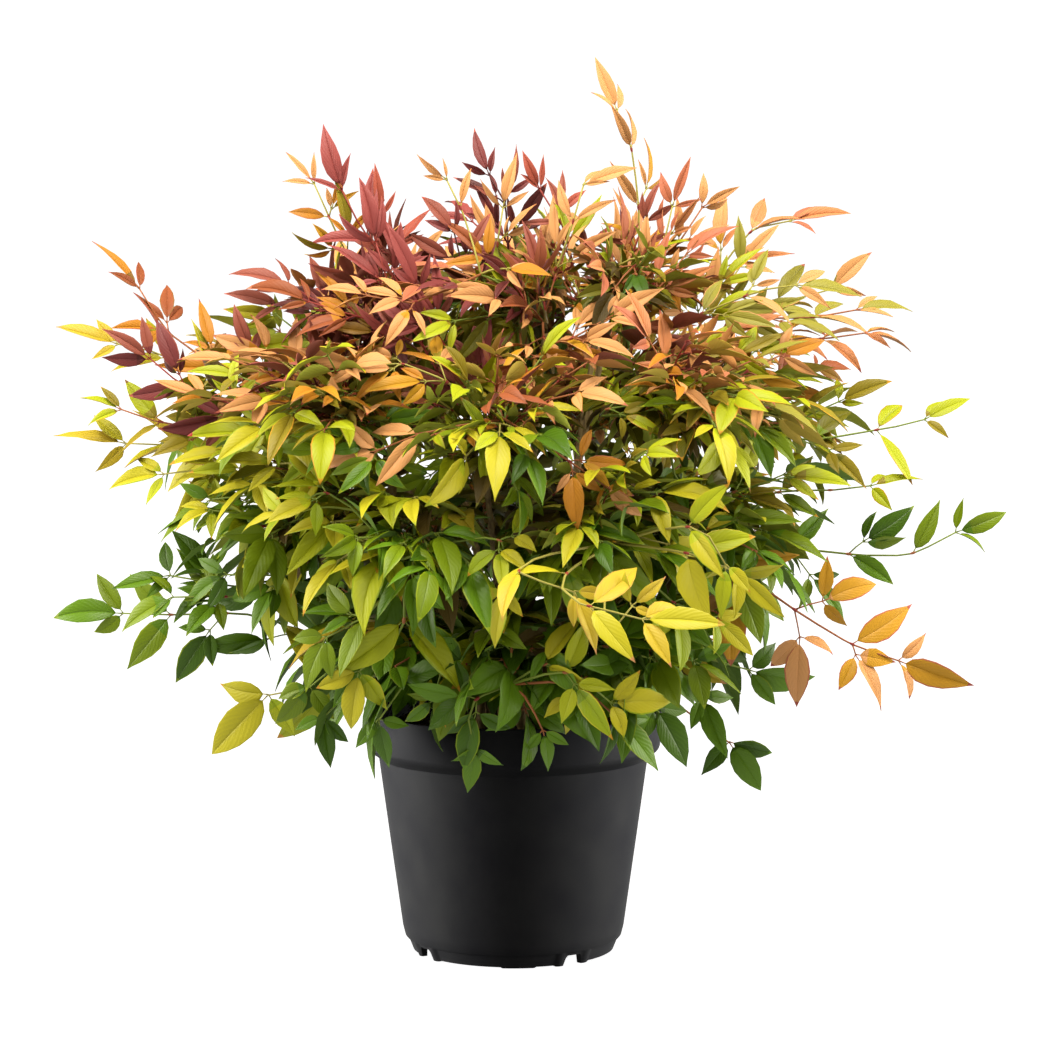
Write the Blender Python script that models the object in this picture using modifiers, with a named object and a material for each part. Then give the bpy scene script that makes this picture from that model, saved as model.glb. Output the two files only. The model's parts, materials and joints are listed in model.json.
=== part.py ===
"""Heavenly bamboo growing in a round nursery pot.

The plant is a clump of thin canes that rise from the growing medium, with boughs that fork from
them and a crown of separate masses of foliage round an open core. Thin sprays reach past the
crown. Metres, +Z up. The origin is on the ground under the pot's centre, -Y is the front and +X
the right. An azimuth is in degrees from +X towards +Y, so the front is at -90.
"""

import math
from collections import namedtuple

import bmesh
import bpy
from mathutils import Matrix, Vector, noise
from mathutils.bvhtree import BVHTree

COLLECTION = "heavenly_bamboo"
GAP = 0.0003  # between pieces that touch

# The pot: a thin moulded shell with a collar at its rim and a notched ring for a foot
POT_HEIGHT = 0.187
RIM_RADIUS = 0.115
COLLAR_HEIGHT = 0.031
COLLAR_LOW_RADIUS = 0.1125
COLLAR_ROUNDING = 0.005
COLLAR_ROUNDED_TO = -75  # degrees, where the rounding meets the collar's underside
LIP_STARTS_AT = 120  # degrees, where the rim's rounding leaves its inside
BODY_TOP_HEIGHT = 0.148
BODY_TOP_RADIUS = 0.1025
BODY_LOW_RADIUS = 0.0825
FOOT_HEIGHT = 0.0115
FOOT_STEP = 0.001
FOOT_RADIUS = 0.0802
FOOT_WIDTH = 0.003
FLOOR_UNDERSIDE = 0.0085
MIDDLE_PAD_RADIUS = 0.018
WALL = 0.002
POT_SIDES = 48
NOTCHES = 4
NOTCH_WIDTH = 0.0135
NOTCH_HEIGHT = 0.008
NOTCH_DEPTH = 0.012
FIRST_NOTCH_AZIMUTH = -147.0

# The growing medium fills the pot to a little under its rim
MEDIUM_TOP = 0.171
MEDIUM_FLAT_RADIUS = 0.066
MEDIUM_EDGE_DROP = 0.004

# The crown: tiers of lobes round an open core
LOBE_CUTS = 3
PAD_CUTS = 1
LUMPINESS = 0.34
LUMP_SCALE = 1.25
LUMP_OFFSET = (7.31, -3.17, 5.03)  # where each seed reads the noise
TIER_SEEDS = (3, 14, 25, 36)
TOP_SEED = 61
FIRST_SPRAY_SEED = 70
HEIGHT_WAVE = 0.012  # a tier's lobes stand higher and lower by this
WAVE_STEP = 2.4  # radians of the wave from one lobe to the next
POT_CLEARANCE = 0.0006
BESIDE_POT = POT_HEIGHT + 0.05  # a spray that starts lower than this is cut clear of the pot
CROWN_FLOOR = 0.478  # masses over the core start at this height
UPRIGHT = 0.8  # a spray steeper than this lies flat towards the front
TRIM_DIRECTIONS = 120
SMALLEST_EDGE = 0.0002
SEAT_DEPTH = 0.006  # how far a pad sits into the lobe that it grows from

# Lobes stand round the axis. size is the half size outwards, round the axis and upwards, and
# reach is how far the tier's leaves go to the right, back, left and front.
Tier = namedtuple("Tier", "name height count azimuth reach size core tilt")
TIERS = (
    Tier("skirt", 0.226, 7, -90, (0.215, 0.205, 0.215, 0.200), (0.058, 0.100, 0.072), 0.000, 0),
    Tier("lower", 0.322, 7, -64, (0.272, 0.265, 0.282, 0.262), (0.105, 0.125, 0.088), 0.104, 0),
    Tier("middle", 0.432, 7, -90, (0.318, 0.288, 0.308, 0.282), (0.122, 0.140, 0.088), 0.096, 12),
    Tier("upper", 0.538, 5, -108, (0.255, 0.210, 0.218, 0.208), (0.118, 0.128, 0.080), 0.000, 34),
)
TOP_LOBE_CENTRE = (-0.010, 0.000, 0.570)
TOP_LOBE_SIZE = (0.090, 0.090, 0.058)

# Sprays reach past the lobes, from base to tip
Spray = namedtuple("Spray", "name base tip width thickness")
SPRAYS = (
    Spray("top", (0.088, 0.000, 0.560), (0.067, -0.005, 0.684), 0.075, 0.034),
    Spray("top_middle", (-0.020, -0.030, 0.560), (-0.030, -0.035, 0.632), 0.110, 0.036),
    Spray("top_left", (-0.085, -0.050, 0.500), (-0.168, -0.060, 0.624), 0.085, 0.036),
    Spray("top_right", (0.150, 0.020, 0.520), (0.262, 0.025, 0.566), 0.090, 0.034),
    Spray("left_high", (-0.175, 0.010, 0.430), (-0.312, 0.015, 0.540), 0.070, 0.030),
    Spray("left_middle", (-0.240, -0.040, 0.440), (-0.350, -0.045, 0.474), 0.080, 0.034),
    Spray("left_low", (-0.250, 0.000, 0.370), (-0.348, 0.000, 0.394), 0.075, 0.032),
    Spray("left_foot", (-0.200, 0.010, 0.270), (-0.346, 0.015, 0.262), 0.080, 0.034),
    Spray("right_high", (0.190, 0.030, 0.434), (0.310, 0.035, 0.496), 0.085, 0.032),
    Spray("right_middle", (0.240, -0.020, 0.395), (0.360, -0.025, 0.413), 0.085, 0.034),
    Spray("right_far", (0.230, 0.000, 0.325), (0.387, 0.005, 0.326), 0.085, 0.034),
    Spray("right_low", (0.190, -0.070, 0.280), (0.348, -0.080, 0.205), 0.075, 0.032),
    Spray("right_foot", (0.165, -0.030, 0.215), (0.190, -0.035, 0.116), 0.070, 0.034),
    Spray("left_drop", (-0.160, -0.050, 0.215), (-0.222, -0.060, 0.145), 0.080, 0.034),
    Spray("front_drop", (-0.020, -0.145, 0.190), (-0.028, -0.150, 0.118), 0.100, 0.030),
    Spray("front", (0.050, -0.210, 0.310), (0.080, -0.315, 0.265), 0.095, 0.036),
    Spray("back", (-0.050, 0.220, 0.430), (-0.070, 0.325, 0.465), 0.090, 0.036),
    Spray("back_right", (0.105, 0.165, 0.335), (0.185, 0.275, 0.300), 0.085, 0.034),
)

# Canes rise from the medium and lean out. Boughs fork from them.
CANES = 8
CANE_FOOT_RADIUS = 0.018
CANE_FOOT_STEP = 0.0042
CANE_FOOT_GAP = 0.0005  # the foot's end face leans a little with the cane
CANE_TURN = 137.5
CANE_FIRST_AZIMUTH = -70.0
CANE_THICK = 0.0034
CANE_THIN = 0.0019
CANE_RISE = 0.17  # how far a cane heads straight up before it leans
CANE_REACH = 0.17
CANE_TOP = 0.40
CANE_TOP_STEP = 0.012
STEEP_EVERY = 3  # one cane in this many heads for the top of the crown
STEEP_REACH = 0.10
STEEP_TOP = 0.56
BOUGH_THICK = 0.0024
BOUGH_THIN = 0.0015
BOUGH_REACH = 0.20
BOUGH_RISE = 0.14
BOUGH_ALONG_CANE = 0.03
BOUGH_AWAY = 0.01
FORK_SHARES = (0.42, 0.50, 0.46, 0.54)
FORK_TURN = 42.0
LIMB_RINGS = 8
PATH_STEPS = 120
ENTRY_RAYS = 8

# Where the crown's autumn colours change
GREEN_BELOW = 0.285
AMBER_FROM_X = 0.22  # the low sprays on the right have turned
LIME_BELOW = 0.42
WARM_ABOVE = 0.47
RED_LEFT_OF_X = -0.02
ORANGE_FROM_X = 0.05

Colour = namedtuple("Colour", "rgb roughness")
COLOURS = {
    "pot_plastic": Colour((0.030, 0.031, 0.034), 0.55),
    "growing_medium": Colour((0.060, 0.038, 0.024), 0.95),
    "cane_bark": Colour((0.240, 0.180, 0.090), 0.75),
    "leaf_green": Colour((0.080, 0.200, 0.040), 0.50),
    "leaf_lime": Colour((0.380, 0.450, 0.060), 0.50),
    "leaf_orange": Colour((0.640, 0.280, 0.110), 0.50),
    "leaf_red": Colour((0.340, 0.070, 0.070), 0.50),
}


def clear_scene():
    for obj in list(bpy.data.objects):
        bpy.data.objects.remove(obj)


def new_collection(name, hidden=False):
    collection = bpy.data.collections.new(name)
    bpy.context.scene.collection.children.link(collection)
    collection.hide_render = hidden
    return collection


def new_material(name):
    colour = COLOURS[name]
    material = bpy.data.materials.new(name)
    material.use_nodes = True
    material.diffuse_color = (*colour.rgb, 1)
    shader = material.node_tree.nodes["Principled BSDF"]
    shader.inputs["Base Color"].default_value = (*colour.rgb, 1)
    shader.inputs["Roughness"].default_value = colour.roughness
    shader.inputs["Metallic"].default_value = 0.0
    return material


def add_object(name, data, material, collection):
    obj = bpy.data.objects.new(name, data)
    data.materials.append(material)
    collection.objects.link(obj)
    return obj


def outwards(azimuth, radius=1.0, height=0.0):
    turn = math.radians(azimuth)
    return Vector((radius * math.cos(turn), radius * math.sin(turn), height))


# Pot and growing medium


def arc(centre, radius, start, end, points):
    """Points of an arc, as (radius from the axis, height), from one angle to another in degrees."""
    found = []
    for i in range(points):
        turn = math.radians(start + (end - start) * i / (points - 1))
        found.append((centre[0] + radius * math.cos(turn), centre[1] + radius * math.sin(turn)))
    return found


def body_radius(height):
    """The outside of the pot's tapered body."""
    share = (height - FOOT_HEIGHT) / (BODY_TOP_HEIGHT - FOOT_HEIGHT)
    return BODY_LOW_RADIUS + share * (BODY_TOP_RADIUS - BODY_LOW_RADIUS)


def inner_wall():
    """The inside of the pot from its floor to its rim."""
    floor = FLOOR_UNDERSIDE + WALL
    return [
        (body_radius(floor) - WALL, floor),
        (BODY_TOP_RADIUS - WALL, BODY_TOP_HEIGHT + WALL),
        (COLLAR_LOW_RADIUS - WALL, POT_HEIGHT - COLLAR_HEIGHT + WALL),
        (RIM_RADIUS - WALL, POT_HEIGHT - WALL / 2),
    ]


def pot_profile():
    """From the middle of the floor up the inside, over the rim and down the outside."""
    lip = arc((RIM_RADIUS - WALL / 2, POT_HEIGHT - WALL / 2), WALL / 2, LIP_STARTS_AT, 0, 3)
    corner_centre = (COLLAR_LOW_RADIUS - COLLAR_ROUNDING, POT_HEIGHT - COLLAR_HEIGHT)
    corner = arc(corner_centre, COLLAR_ROUNDING, 0, COLLAR_ROUNDED_TO, 4)
    foot_inside = FOOT_RADIUS - FOOT_WIDTH
    return (
        [(0, FLOOR_UNDERSIDE + WALL)]
        + inner_wall()
        + lip
        + corner
        + [
            (BODY_TOP_RADIUS, BODY_TOP_HEIGHT),
            (BODY_LOW_RADIUS, FOOT_HEIGHT),
            (FOOT_RADIUS, FOOT_HEIGHT - FOOT_STEP),
            (FOOT_RADIUS, 0),
            (foot_inside, 0),
            (foot_inside, FLOOR_UNDERSIDE),
            (MIDDLE_PAD_RADIUS, FLOOR_UNDERSIDE),
            (MIDDLE_PAD_RADIUS, 0),
            (0, 0),
        ]
    )


def medium_profile():
    """The fill, a gap inside the wall, with a flat middle that sinks a little at its edge."""
    floor, waist, step, _ = inner_wall()
    top_share = (MEDIUM_TOP - MEDIUM_EDGE_DROP - step[1]) / (POT_HEIGHT - step[1])
    top_radius = step[0] + top_share * (RIM_RADIUS - WALL - step[0])
    return [
        (0, MEDIUM_TOP),
        (MEDIUM_FLAT_RADIUS, MEDIUM_TOP),
        (top_radius - GAP, MEDIUM_TOP - MEDIUM_EDGE_DROP),
        (step[0] - GAP, step[1] + GAP),
        (waist[0] - GAP, waist[1] + GAP),
        (floor[0] - GAP, floor[1] + GAP),
        (0, floor[1] + GAP),
    ]


def turned(name, profile, material, collection):
    mesh = bpy.data.meshes.new(name)
    edges = [(i, i + 1) for i in range(len(profile) - 1)]
    mesh.from_pydata([(r, 0, z) for r, z in profile], edges, [])
    obj = add_object(name, mesh, material, collection)
    screw = obj.modifiers.new("Turn", "SCREW")
    screw.steps = POT_SIDES
    screw.render_steps = POT_SIDES
    screw.use_merge_vertices = True
    screw.merge_threshold = 0.0001
    screw.use_smooth_shade = True
    return obj


def make_pot(material, collection, cutters):
    pot = turned("pot", pot_profile(), material, collection)
    for k in range(NOTCHES):
        azimuth = FIRST_NOTCH_AZIMUTH + k * 360 / NOTCHES
        mesh = bpy.data.meshes.new(f"notch_cutter_{k + 1}")
        bm = bmesh.new()
        bmesh.ops.create_cube(bm, size=1)
        bm.to_mesh(mesh)
        bm.free()
        cutter = bpy.data.objects.new(mesh.name, mesh)
        cutters.objects.link(cutter)
        cutter.hide_render = True
        cutter.display_type = "WIRE"
        for v in mesh.vertices:
            v.co = (v.co.x * NOTCH_DEPTH, v.co.y * NOTCH_WIDTH, v.co.z * NOTCH_HEIGHT * 2)
        cutter.rotation_euler.z = math.radians(azimuth)
        cutter.location = outwards(azimuth, FOOT_RADIUS - FOOT_WIDTH / 2)
        cut = pot.modifiers.new(f"Notch {k + 1}", "BOOLEAN")
        cut.operation = "DIFFERENCE"
        cut.object = cutter


# Masses of foliage


class Mass:
    """A closed, uneven solid, as a bmesh in world space."""

    def __init__(self, name, centre, axes, cuts, seed, spray=None):
        self.name = name
        self.spray = spray
        self.is_pad = spray is not None
        self.centre = Vector(centre)
        self.bm = bmesh.new()
        bmesh.ops.create_cube(self.bm, size=2)
        bmesh.ops.subdivide_edges(self.bm, edges=self.bm.edges[:], cuts=cuts, use_grid_fill=True)
        offset = seed * Vector(LUMP_OFFSET)
        for v in self.bm.verts:
            unit = v.co.normalized()
            swell = 1 + LUMPINESS * noise.noise(unit * LUMP_SCALE + offset)
            v.co = self.centre + swell * sum((a * u for a, u in zip(axes, unit)), Vector())

    def span(self, direction):
        levels = [v.co.dot(direction) for v in self.bm.verts]
        return min(levels), max(levels)

    def middle(self):
        return sum((v.co for v in self.bm.verts), Vector()) / len(self.bm.verts)

    def trim(self, point, normal):
        """Cuts off what lies beyond a plane and closes the cut."""
        normal = Vector(normal).normalized()
        if self.span(normal)[1] <= Vector(point).dot(normal):
            return
        bmesh.ops.bisect_plane(
            self.bm,
            geom=self.bm.verts[:] + self.bm.edges[:] + self.bm.faces[:],
            dist=1e-6,
            plane_co=point,
            plane_no=normal,
            clear_outer=True,
        )
        rim = [e for e in self.bm.edges if e.is_boundary]
        bmesh.ops.holes_fill(self.bm, edges=rim, sides=0)
        bmesh.ops.remove_doubles(self.bm, verts=self.bm.verts[:], dist=SMALLEST_EDGE)

    def finish(self):
        bmesh.ops.triangulate(self.bm, faces=self.bm.faces[:])
        bmesh.ops.recalc_face_normals(self.bm, faces=self.bm.faces[:])
        mesh = bpy.data.meshes.new(self.name)
        self.bm.to_mesh(mesh)
        return mesh


def tier_reach(reach, azimuth):
    """How far a tier's leaves go at an azimuth, between its right, back, left and front."""
    direction = outwards(azimuth)
    right, back, left, front = reach
    a = right if direction.x > 0 else left
    b = back if direction.y > 0 else front
    return 1 / math.hypot(direction.x / a, direction.y / b)


def tier_masses(tier, seed):
    """One tier's lobes, trimmed clear of the core and the pot."""
    made = []
    for k in range(tier.count):
        azimuth = tier.azimuth + 360 * k / tier.count
        out = outwards(azimuth)
        round_axis = Vector((-out.y, out.x, 0))
        tilt = math.radians(tier.tilt)
        along = out * math.cos(tilt) - Vector((0, 0, 1)) * math.sin(tilt)
        up = along.cross(round_axis)
        centre = out * (tier_reach(tier.reach, azimuth) - tier.size[0])
        centre.z = tier.height + HEIGHT_WAVE * math.sin(WAVE_STEP * k + seed)
        axes = [along * tier.size[0], round_axis * tier.size[1], up * tier.size[2]]
        mass = Mass(f"foliage_{tier.name}_{k + 1}", centre, axes, LOBE_CUTS, seed + k)
        if tier.name == "skirt":
            mass.trim(out * (RIM_RADIUS + POT_CLEARANCE), -out)
        elif tier.core:
            mass.trim(out * tier.core, -out)
        else:
            mass.trim((0, 0, CROWN_FLOOR), (0, 0, -1))
        made.append(mass)
    return made


def top_mass():
    axes = Matrix.Diagonal(TOP_LOBE_SIZE)
    mass = Mass("foliage_top", TOP_LOBE_CENTRE, axes, LOBE_CUTS, TOP_SEED)
    mass.trim((0, 0, CROWN_FLOOR), (0, 0, -1))
    return mass


def spray_mass(spray, seed):
    """A thin pad from inside the crown to the spray's furthest tip."""
    base, tip = Vector(spray.base), Vector(spray.tip)
    along = (tip - base) / 2
    upward = Vector((0, 0, 1)) if abs(along.normalized().z) < UPRIGHT else Vector((0, 1, 0))
    across = along.cross(upward).normalized()
    thick = across.cross(along).normalized()
    axes = [along, across * spray.width / 2, thick * spray.thickness / 2]
    mass = Mass(f"spray_{spray.name}", (base + tip) / 2, axes, PAD_CUTS, seed, spray)
    if base.z < BESIDE_POT:
        out = Vector((base.x, base.y, 0)).normalized()
        mass.trim(out * (RIM_RADIUS + POT_CLEARANCE), -out)
    return mass


def spread_directions(count):
    """Directions spread evenly over a sphere."""
    found = []
    for i in range(count):
        z = 1 - (2 * i + 1) / count
        turn = i * math.pi * (3 - math.sqrt(5))
        ring = math.sqrt(1 - z * z)
        found.append(Vector((ring * math.cos(turn), ring * math.sin(turn), z)))
    return found


def part_two(first, second, directions):
    """Cuts two masses that overlap.

    Lobes are cut square to the line between them, and a pad where least is lost.
    """
    line = (second.centre - first.centre).normalized()
    depths = []
    for normal in [line] + directions:
        high = first.span(normal)[1]
        low = second.span(normal)[0]
        depths.append((high - low, low, high, normal))
    least = min(depths, key=lambda found: found[0])
    if least[0] <= -GAP:
        return
    lobes = not (first.is_pad or second.is_pad)
    _, low, high, normal = depths[0] if lobes else least
    level = (low + high) / 2
    first.trim(normal * (level - GAP / 2), normal)
    second.trim(normal * (level + GAP / 2), -normal)


def seat_pad(pad, lobes):
    """Sets a pad on the lobe that it grows from, a little way into the lobe's surface."""
    spray = pad.spray
    tip, base = Vector(spray.tip), Vector(spray.base)
    inwards = base - tip
    found = []
    for lobe in lobes:
        place, normal, _, distance = BVHTree.FromBMesh(lobe.bm).ray_cast(tip, inwards.normalized())
        if place is not None:
            found.append((distance, lobe, place, normal))
    _, lobe, place, normal = min(found, key=lambda f: f[0])
    facing = (normal - inwards.normalized()).normalized()
    seat = place.dot(facing) - SEAT_DEPTH
    pad.trim(facing * (seat + GAP / 2), -facing)
    lobe.trim(facing * (seat - GAP / 2), facing)


def make_masses():
    lobes = []
    for tier, seed in zip(TIERS, TIER_SEEDS):
        lobes += tier_masses(tier, seed)
    lobes.append(top_mass())
    directions = spread_directions(TRIM_DIRECTIONS)
    for i, first in enumerate(lobes):
        for second in lobes[i + 1 :]:
            part_two(first, second, directions)
    masses = list(lobes)
    for number, spray in enumerate(SPRAYS):
        pad = spray_mass(spray, FIRST_SPRAY_SEED + number)
        seat_pad(pad, lobes)
        for other in masses:
            part_two(other, pad, directions)
        masses.append(pad)
    return masses


def tint(point):
    """The autumn colour of the crown at a point: green low down, red upper left, orange above."""
    if point.z < GREEN_BELOW:
        return "leaf_orange" if point.x > AMBER_FROM_X else "leaf_green"
    if point.z < LIME_BELOW:
        return "leaf_lime"
    if point.z > WARM_ABOVE:
        return "leaf_red" if point.x < RED_LEFT_OF_X else "leaf_orange"
    return "leaf_orange" if point.x > ORANGE_FROM_X else "leaf_lime"


# Canes and boughs


def bent_path(foot, rise, target):
    """A smooth limb from its foot, first along rise, to its target."""
    points = []
    for i in range(PATH_STEPS + 1):
        t = i / PATH_STEPS
        points.append(foot * (1 - t) ** 2 + (foot + rise) * 2 * t * (1 - t) + target * t * t)
    return points


def ring_round(direction, radius):
    """Offsets to the middle and to points round the edge of a limb that runs this way."""
    across = direction.orthogonal().normalized()
    over = direction.cross(across)
    turns = [2 * math.pi * k / ENTRY_RAYS for k in range(ENTRY_RAYS)]
    return [Vector()] + [radius * (math.cos(t) * across + math.sin(t) * over) for t in turns]


def first_entry(path, surfaces, radius):
    """The path up to where the limb first meets a mass, less a gap."""
    for i in range(len(path) - 1):
        step = path[i + 1] - path[i]
        heading = step.normalized()
        reach = step.length + GAP
        distances = []
        for offset in ring_round(heading, radius + GAP):
            for surface in surfaces:
                distance = surface.ray_cast(path[i] + offset, heading, reach)[3]
                if distance is not None:
                    distances.append(distance)
        if distances:
            return path[:i] + [path[i] + heading * (min(distances) - GAP)]
    return path


def even_points(path, count):
    """count points, evenly apart along a path."""
    lengths = [0.0]
    for a, b in zip(path, path[1:]):
        lengths.append(lengths[-1] + (b - a).length)
    found = []
    for k in range(count):
        want = lengths[-1] * k / (count - 1)
        i = max(j for j in range(len(path) - 1) if lengths[j] <= want or j == 0)
        span = max(lengths[i + 1] - lengths[i], 1e-9)
        found.append(path[i].lerp(path[i + 1], min((want - lengths[i]) / span, 1)))
    return found


def make_limb(name, path, thick, thin, material, collection):
    curve = bpy.data.curves.new(name, "CURVE")
    curve.dimensions = "3D"
    curve.bevel_depth = thick
    curve.bevel_resolution = 1
    curve.use_fill_caps = True
    spline = curve.splines.new("POLY")
    points = even_points(path, LIMB_RINGS)
    spline.points.add(len(points) - 1)
    for k, (slot, point) in enumerate(zip(spline.points, points)):
        slot.co = (*point, 1)
        slot.radius = 1 + (thin / thick - 1) * k / (len(points) - 1)
    return add_object(name, curve, material, collection)


def cane_paths(surfaces):
    """Each cane's path from the medium to the mass that it enters."""
    paths = []
    for k in range(CANES):
        azimuth = CANE_FIRST_AZIMUTH + k * CANE_TURN
        foot = outwards(azimuth, CANE_FOOT_RADIUS + CANE_FOOT_STEP * k, MEDIUM_TOP + CANE_FOOT_GAP)
        if k % STEEP_EVERY == 0:
            target = outwards(azimuth, STEEP_REACH, STEEP_TOP)
        else:
            target = outwards(azimuth, CANE_REACH, CANE_TOP + CANE_TOP_STEP * k)
        path = bent_path(foot, Vector((0, 0, CANE_RISE)), target)
        paths.append(first_entry(path, surfaces, CANE_THIN))
    return paths


def bough_path(cane, azimuth, share, surfaces):
    """A bough that leaves a cane part of the way up, clear of the cane's own bark."""
    fork_at = int(share * (len(cane) - 1))
    fork = cane[fork_at]
    growth = (cane[fork_at + 1] - fork).normalized()
    target = outwards(azimuth, BOUGH_REACH, fork.z + BOUGH_RISE)
    path = bent_path(fork, growth * BOUGH_ALONG_CANE + outwards(azimuth, BOUGH_AWAY), target)
    cane_radius = CANE_THICK + (CANE_THIN - CANE_THICK) * share
    start = 0
    for i, point in enumerate(path[:-1]):
        along = (path[i + 1] - point).normalized()
        nearest = min((point - c).length for c in cane)
        if nearest > cane_radius + BOUGH_THICK * abs(along.dot(growth)) + GAP:
            start = i
            break
    return first_entry(path[start:], surfaces, BOUGH_THIN)


def make_limbs(masses, material, collection):
    surfaces = [BVHTree.FromBMesh(mass.bm) for mass in masses]
    canes = cane_paths(surfaces)
    for k, path in enumerate(canes):
        make_limb(f"cane_{k + 1}", path, CANE_THICK, CANE_THIN, material, collection)
    for k, share in enumerate(FORK_SHARES):
        number = 2 * k + 1
        azimuth = CANE_FIRST_AZIMUTH + number * CANE_TURN + (FORK_TURN if k % 2 else -FORK_TURN)
        path = bough_path(canes[number], azimuth, share, surfaces)
        make_limb(f"bough_{k + 1}", path, BOUGH_THICK, BOUGH_THIN, material, collection)


def main():
    clear_scene()
    plant = new_collection(COLLECTION)
    cutters = new_collection("cutters", hidden=True)
    materials = {name: new_material(name) for name in COLOURS}
    make_pot(materials["pot_plastic"], plant, cutters)
    turned("growing_medium", medium_profile(), materials["growing_medium"], plant)
    masses = make_masses()
    meshes = [(mass.name, mass.finish(), mass.middle()) for mass in masses]
    make_limbs(masses, materials["cane_bark"], plant)
    for name, mesh, middle in meshes:
        add_object(name, mesh, materials[tint(middle)], plant)


main()
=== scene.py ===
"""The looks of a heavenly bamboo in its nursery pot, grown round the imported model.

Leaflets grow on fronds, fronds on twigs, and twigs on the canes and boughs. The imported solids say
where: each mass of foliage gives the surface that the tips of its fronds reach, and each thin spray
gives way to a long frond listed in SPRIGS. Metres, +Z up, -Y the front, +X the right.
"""

import json
import math
from collections import defaultdict, namedtuple

import bpy
import numpy as np
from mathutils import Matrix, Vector, noise
from mathutils.bvhtree import BVHTree
from numpy.linalg import norm


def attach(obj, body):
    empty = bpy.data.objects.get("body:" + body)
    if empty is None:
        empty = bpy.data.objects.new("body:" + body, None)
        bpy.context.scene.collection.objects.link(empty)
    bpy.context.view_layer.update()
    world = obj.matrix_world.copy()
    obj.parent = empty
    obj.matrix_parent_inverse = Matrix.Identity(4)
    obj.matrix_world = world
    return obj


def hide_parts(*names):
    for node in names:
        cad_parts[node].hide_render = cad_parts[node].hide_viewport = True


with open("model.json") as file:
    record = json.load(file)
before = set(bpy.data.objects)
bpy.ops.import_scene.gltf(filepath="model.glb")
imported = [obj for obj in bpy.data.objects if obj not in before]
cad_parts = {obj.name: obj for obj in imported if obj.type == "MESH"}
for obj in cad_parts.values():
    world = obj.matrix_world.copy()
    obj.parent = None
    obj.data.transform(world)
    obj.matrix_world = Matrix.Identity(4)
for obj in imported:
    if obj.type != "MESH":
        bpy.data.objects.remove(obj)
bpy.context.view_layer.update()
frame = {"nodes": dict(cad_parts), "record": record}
SLOT_OF = {part["node"]: part["material_slot"] for part in frame["record"]["subparts"]}
SEED = 20

UP = np.array([0.0, 0.0, 1.0])
FRONT = np.array([0.0, -1.0, 0.0])

# Camera, as far away and as low as the photograph's
CAMERA_PLACE = (0.009, -2.51, 0.550)
CAMERA_TILT = math.radians(5.06)
CAMERA_LENS = 112.8
CAMERA_FILM = 36.0

# Pot, from rim to foot. A pair is a radius and a height, or a step outward and up.
POT_HEIGHT = 0.187
RIM_RADIUS = 0.115
COLLAR_LOW_RADIUS = 0.1130
COLLAR_HEIGHT = 0.033
COLLAR_ROUNDING = 0.006
COLLAR_SLOPE = 57  # degrees that its lower edge turns inward
BODY_TOP = (0.1032, 0.147)
BODY_MIDDLE = (0.0946, 0.0845)
BODY_LOW = (0.0854, 0.0190)
BODY_END = (0.0836, 0.0118)
BODY_END_BEVEL = (0.0009, 0.0011)
THROAT_SHIFT = (0.0010, 0.0024)  # from the body's top to the centre of the rounding over it
THROAT_ROUNDING = 0.0009
FLOOR_ROUNDING = 0.004
FOOT_RADIUS = 0.0814
FOOT_LOW_RADIUS = 0.0772
FOOT_WIDTH = 0.003
FOOT_TOP = 0.0105
FLOOR_UNDERSIDE = 0.0085
MIDDLE_PAD_RADIUS = 0.018
MIDDLE_PAD_BEVEL = 0.0006
MIDDLE_PAD_FILLET = 0.001
WALL = 0.002
POT_SIDES = 360
POT_SHARP_FROM = 32  # degrees between two faces
NOTCH_AZIMUTHS = (-147, -55, 33, 123)
NOTCH_HALF = 5.2  # degrees
NOTCH_HEIGHT = 0.0080
LUG_HALF = 3.2  # degrees
LUG_BULGE = 0.0014
FOOT_LIFT = 0.0009  # the ring between its pads
PAD_AZIMUTH = -87
PAD_HALF = 9.5  # degrees

# Growing medium: lumps and crumbs on its top, which sinks towards the wall, and chips of bark
MEDIUM_TOP = 0.171
MEDIUM_RADIUS = 0.1112
MEDIUM_FOOT = (0.099, 0.150)
MEDIUM_RINGS = 46
MEDIUM_SIDES = 200
LUMP_SCALE = 70
LUMP_HEIGHT = 0.0022
CRUMB_SCALE = 260
CRUMB_HEIGHT = 0.0014
MEDIUM_SETTLED = 0.001
EDGE_SINK = 0.0035
CHIPS = 420
CHIP_SIZES = ((0.0016, 0.0052), (0.001, 0.0026), (0.0006, 0.0014))
CHIP_SPREAD = 0.94
CHIP_LIFT = 0.0006
CHIP_SHARP_FROM = 50  # degrees between two faces

# Limbs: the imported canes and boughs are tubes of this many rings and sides, with finer bark over them
LIMB_RINGS = 8
LIMB_SIDES = 6
BARK_SIDES = 14
BARK_STEP = 0.0019
BARK_SWELL = 1.04
LINE_POINTS = 60

# Bark's relief, as shares of a limb's radius: a narrow ring and the swelling past it at each node,
# and ridges and crumbs of noise, each with its scale round the limb and along it
NODE_SPACING = 0.027
NODE_SHIFT = 0.006
RING_HEIGHT = 0.30
RING_PLACE = 0.0015
RING_WIDTH = 0.0012
SWELLING_HEIGHT = 0.12
SWELLING_LENGTH = 0.008
RIDGE = (0.16, 2.6, 90)
CRUMB = (0.07, 5, 420)
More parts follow.
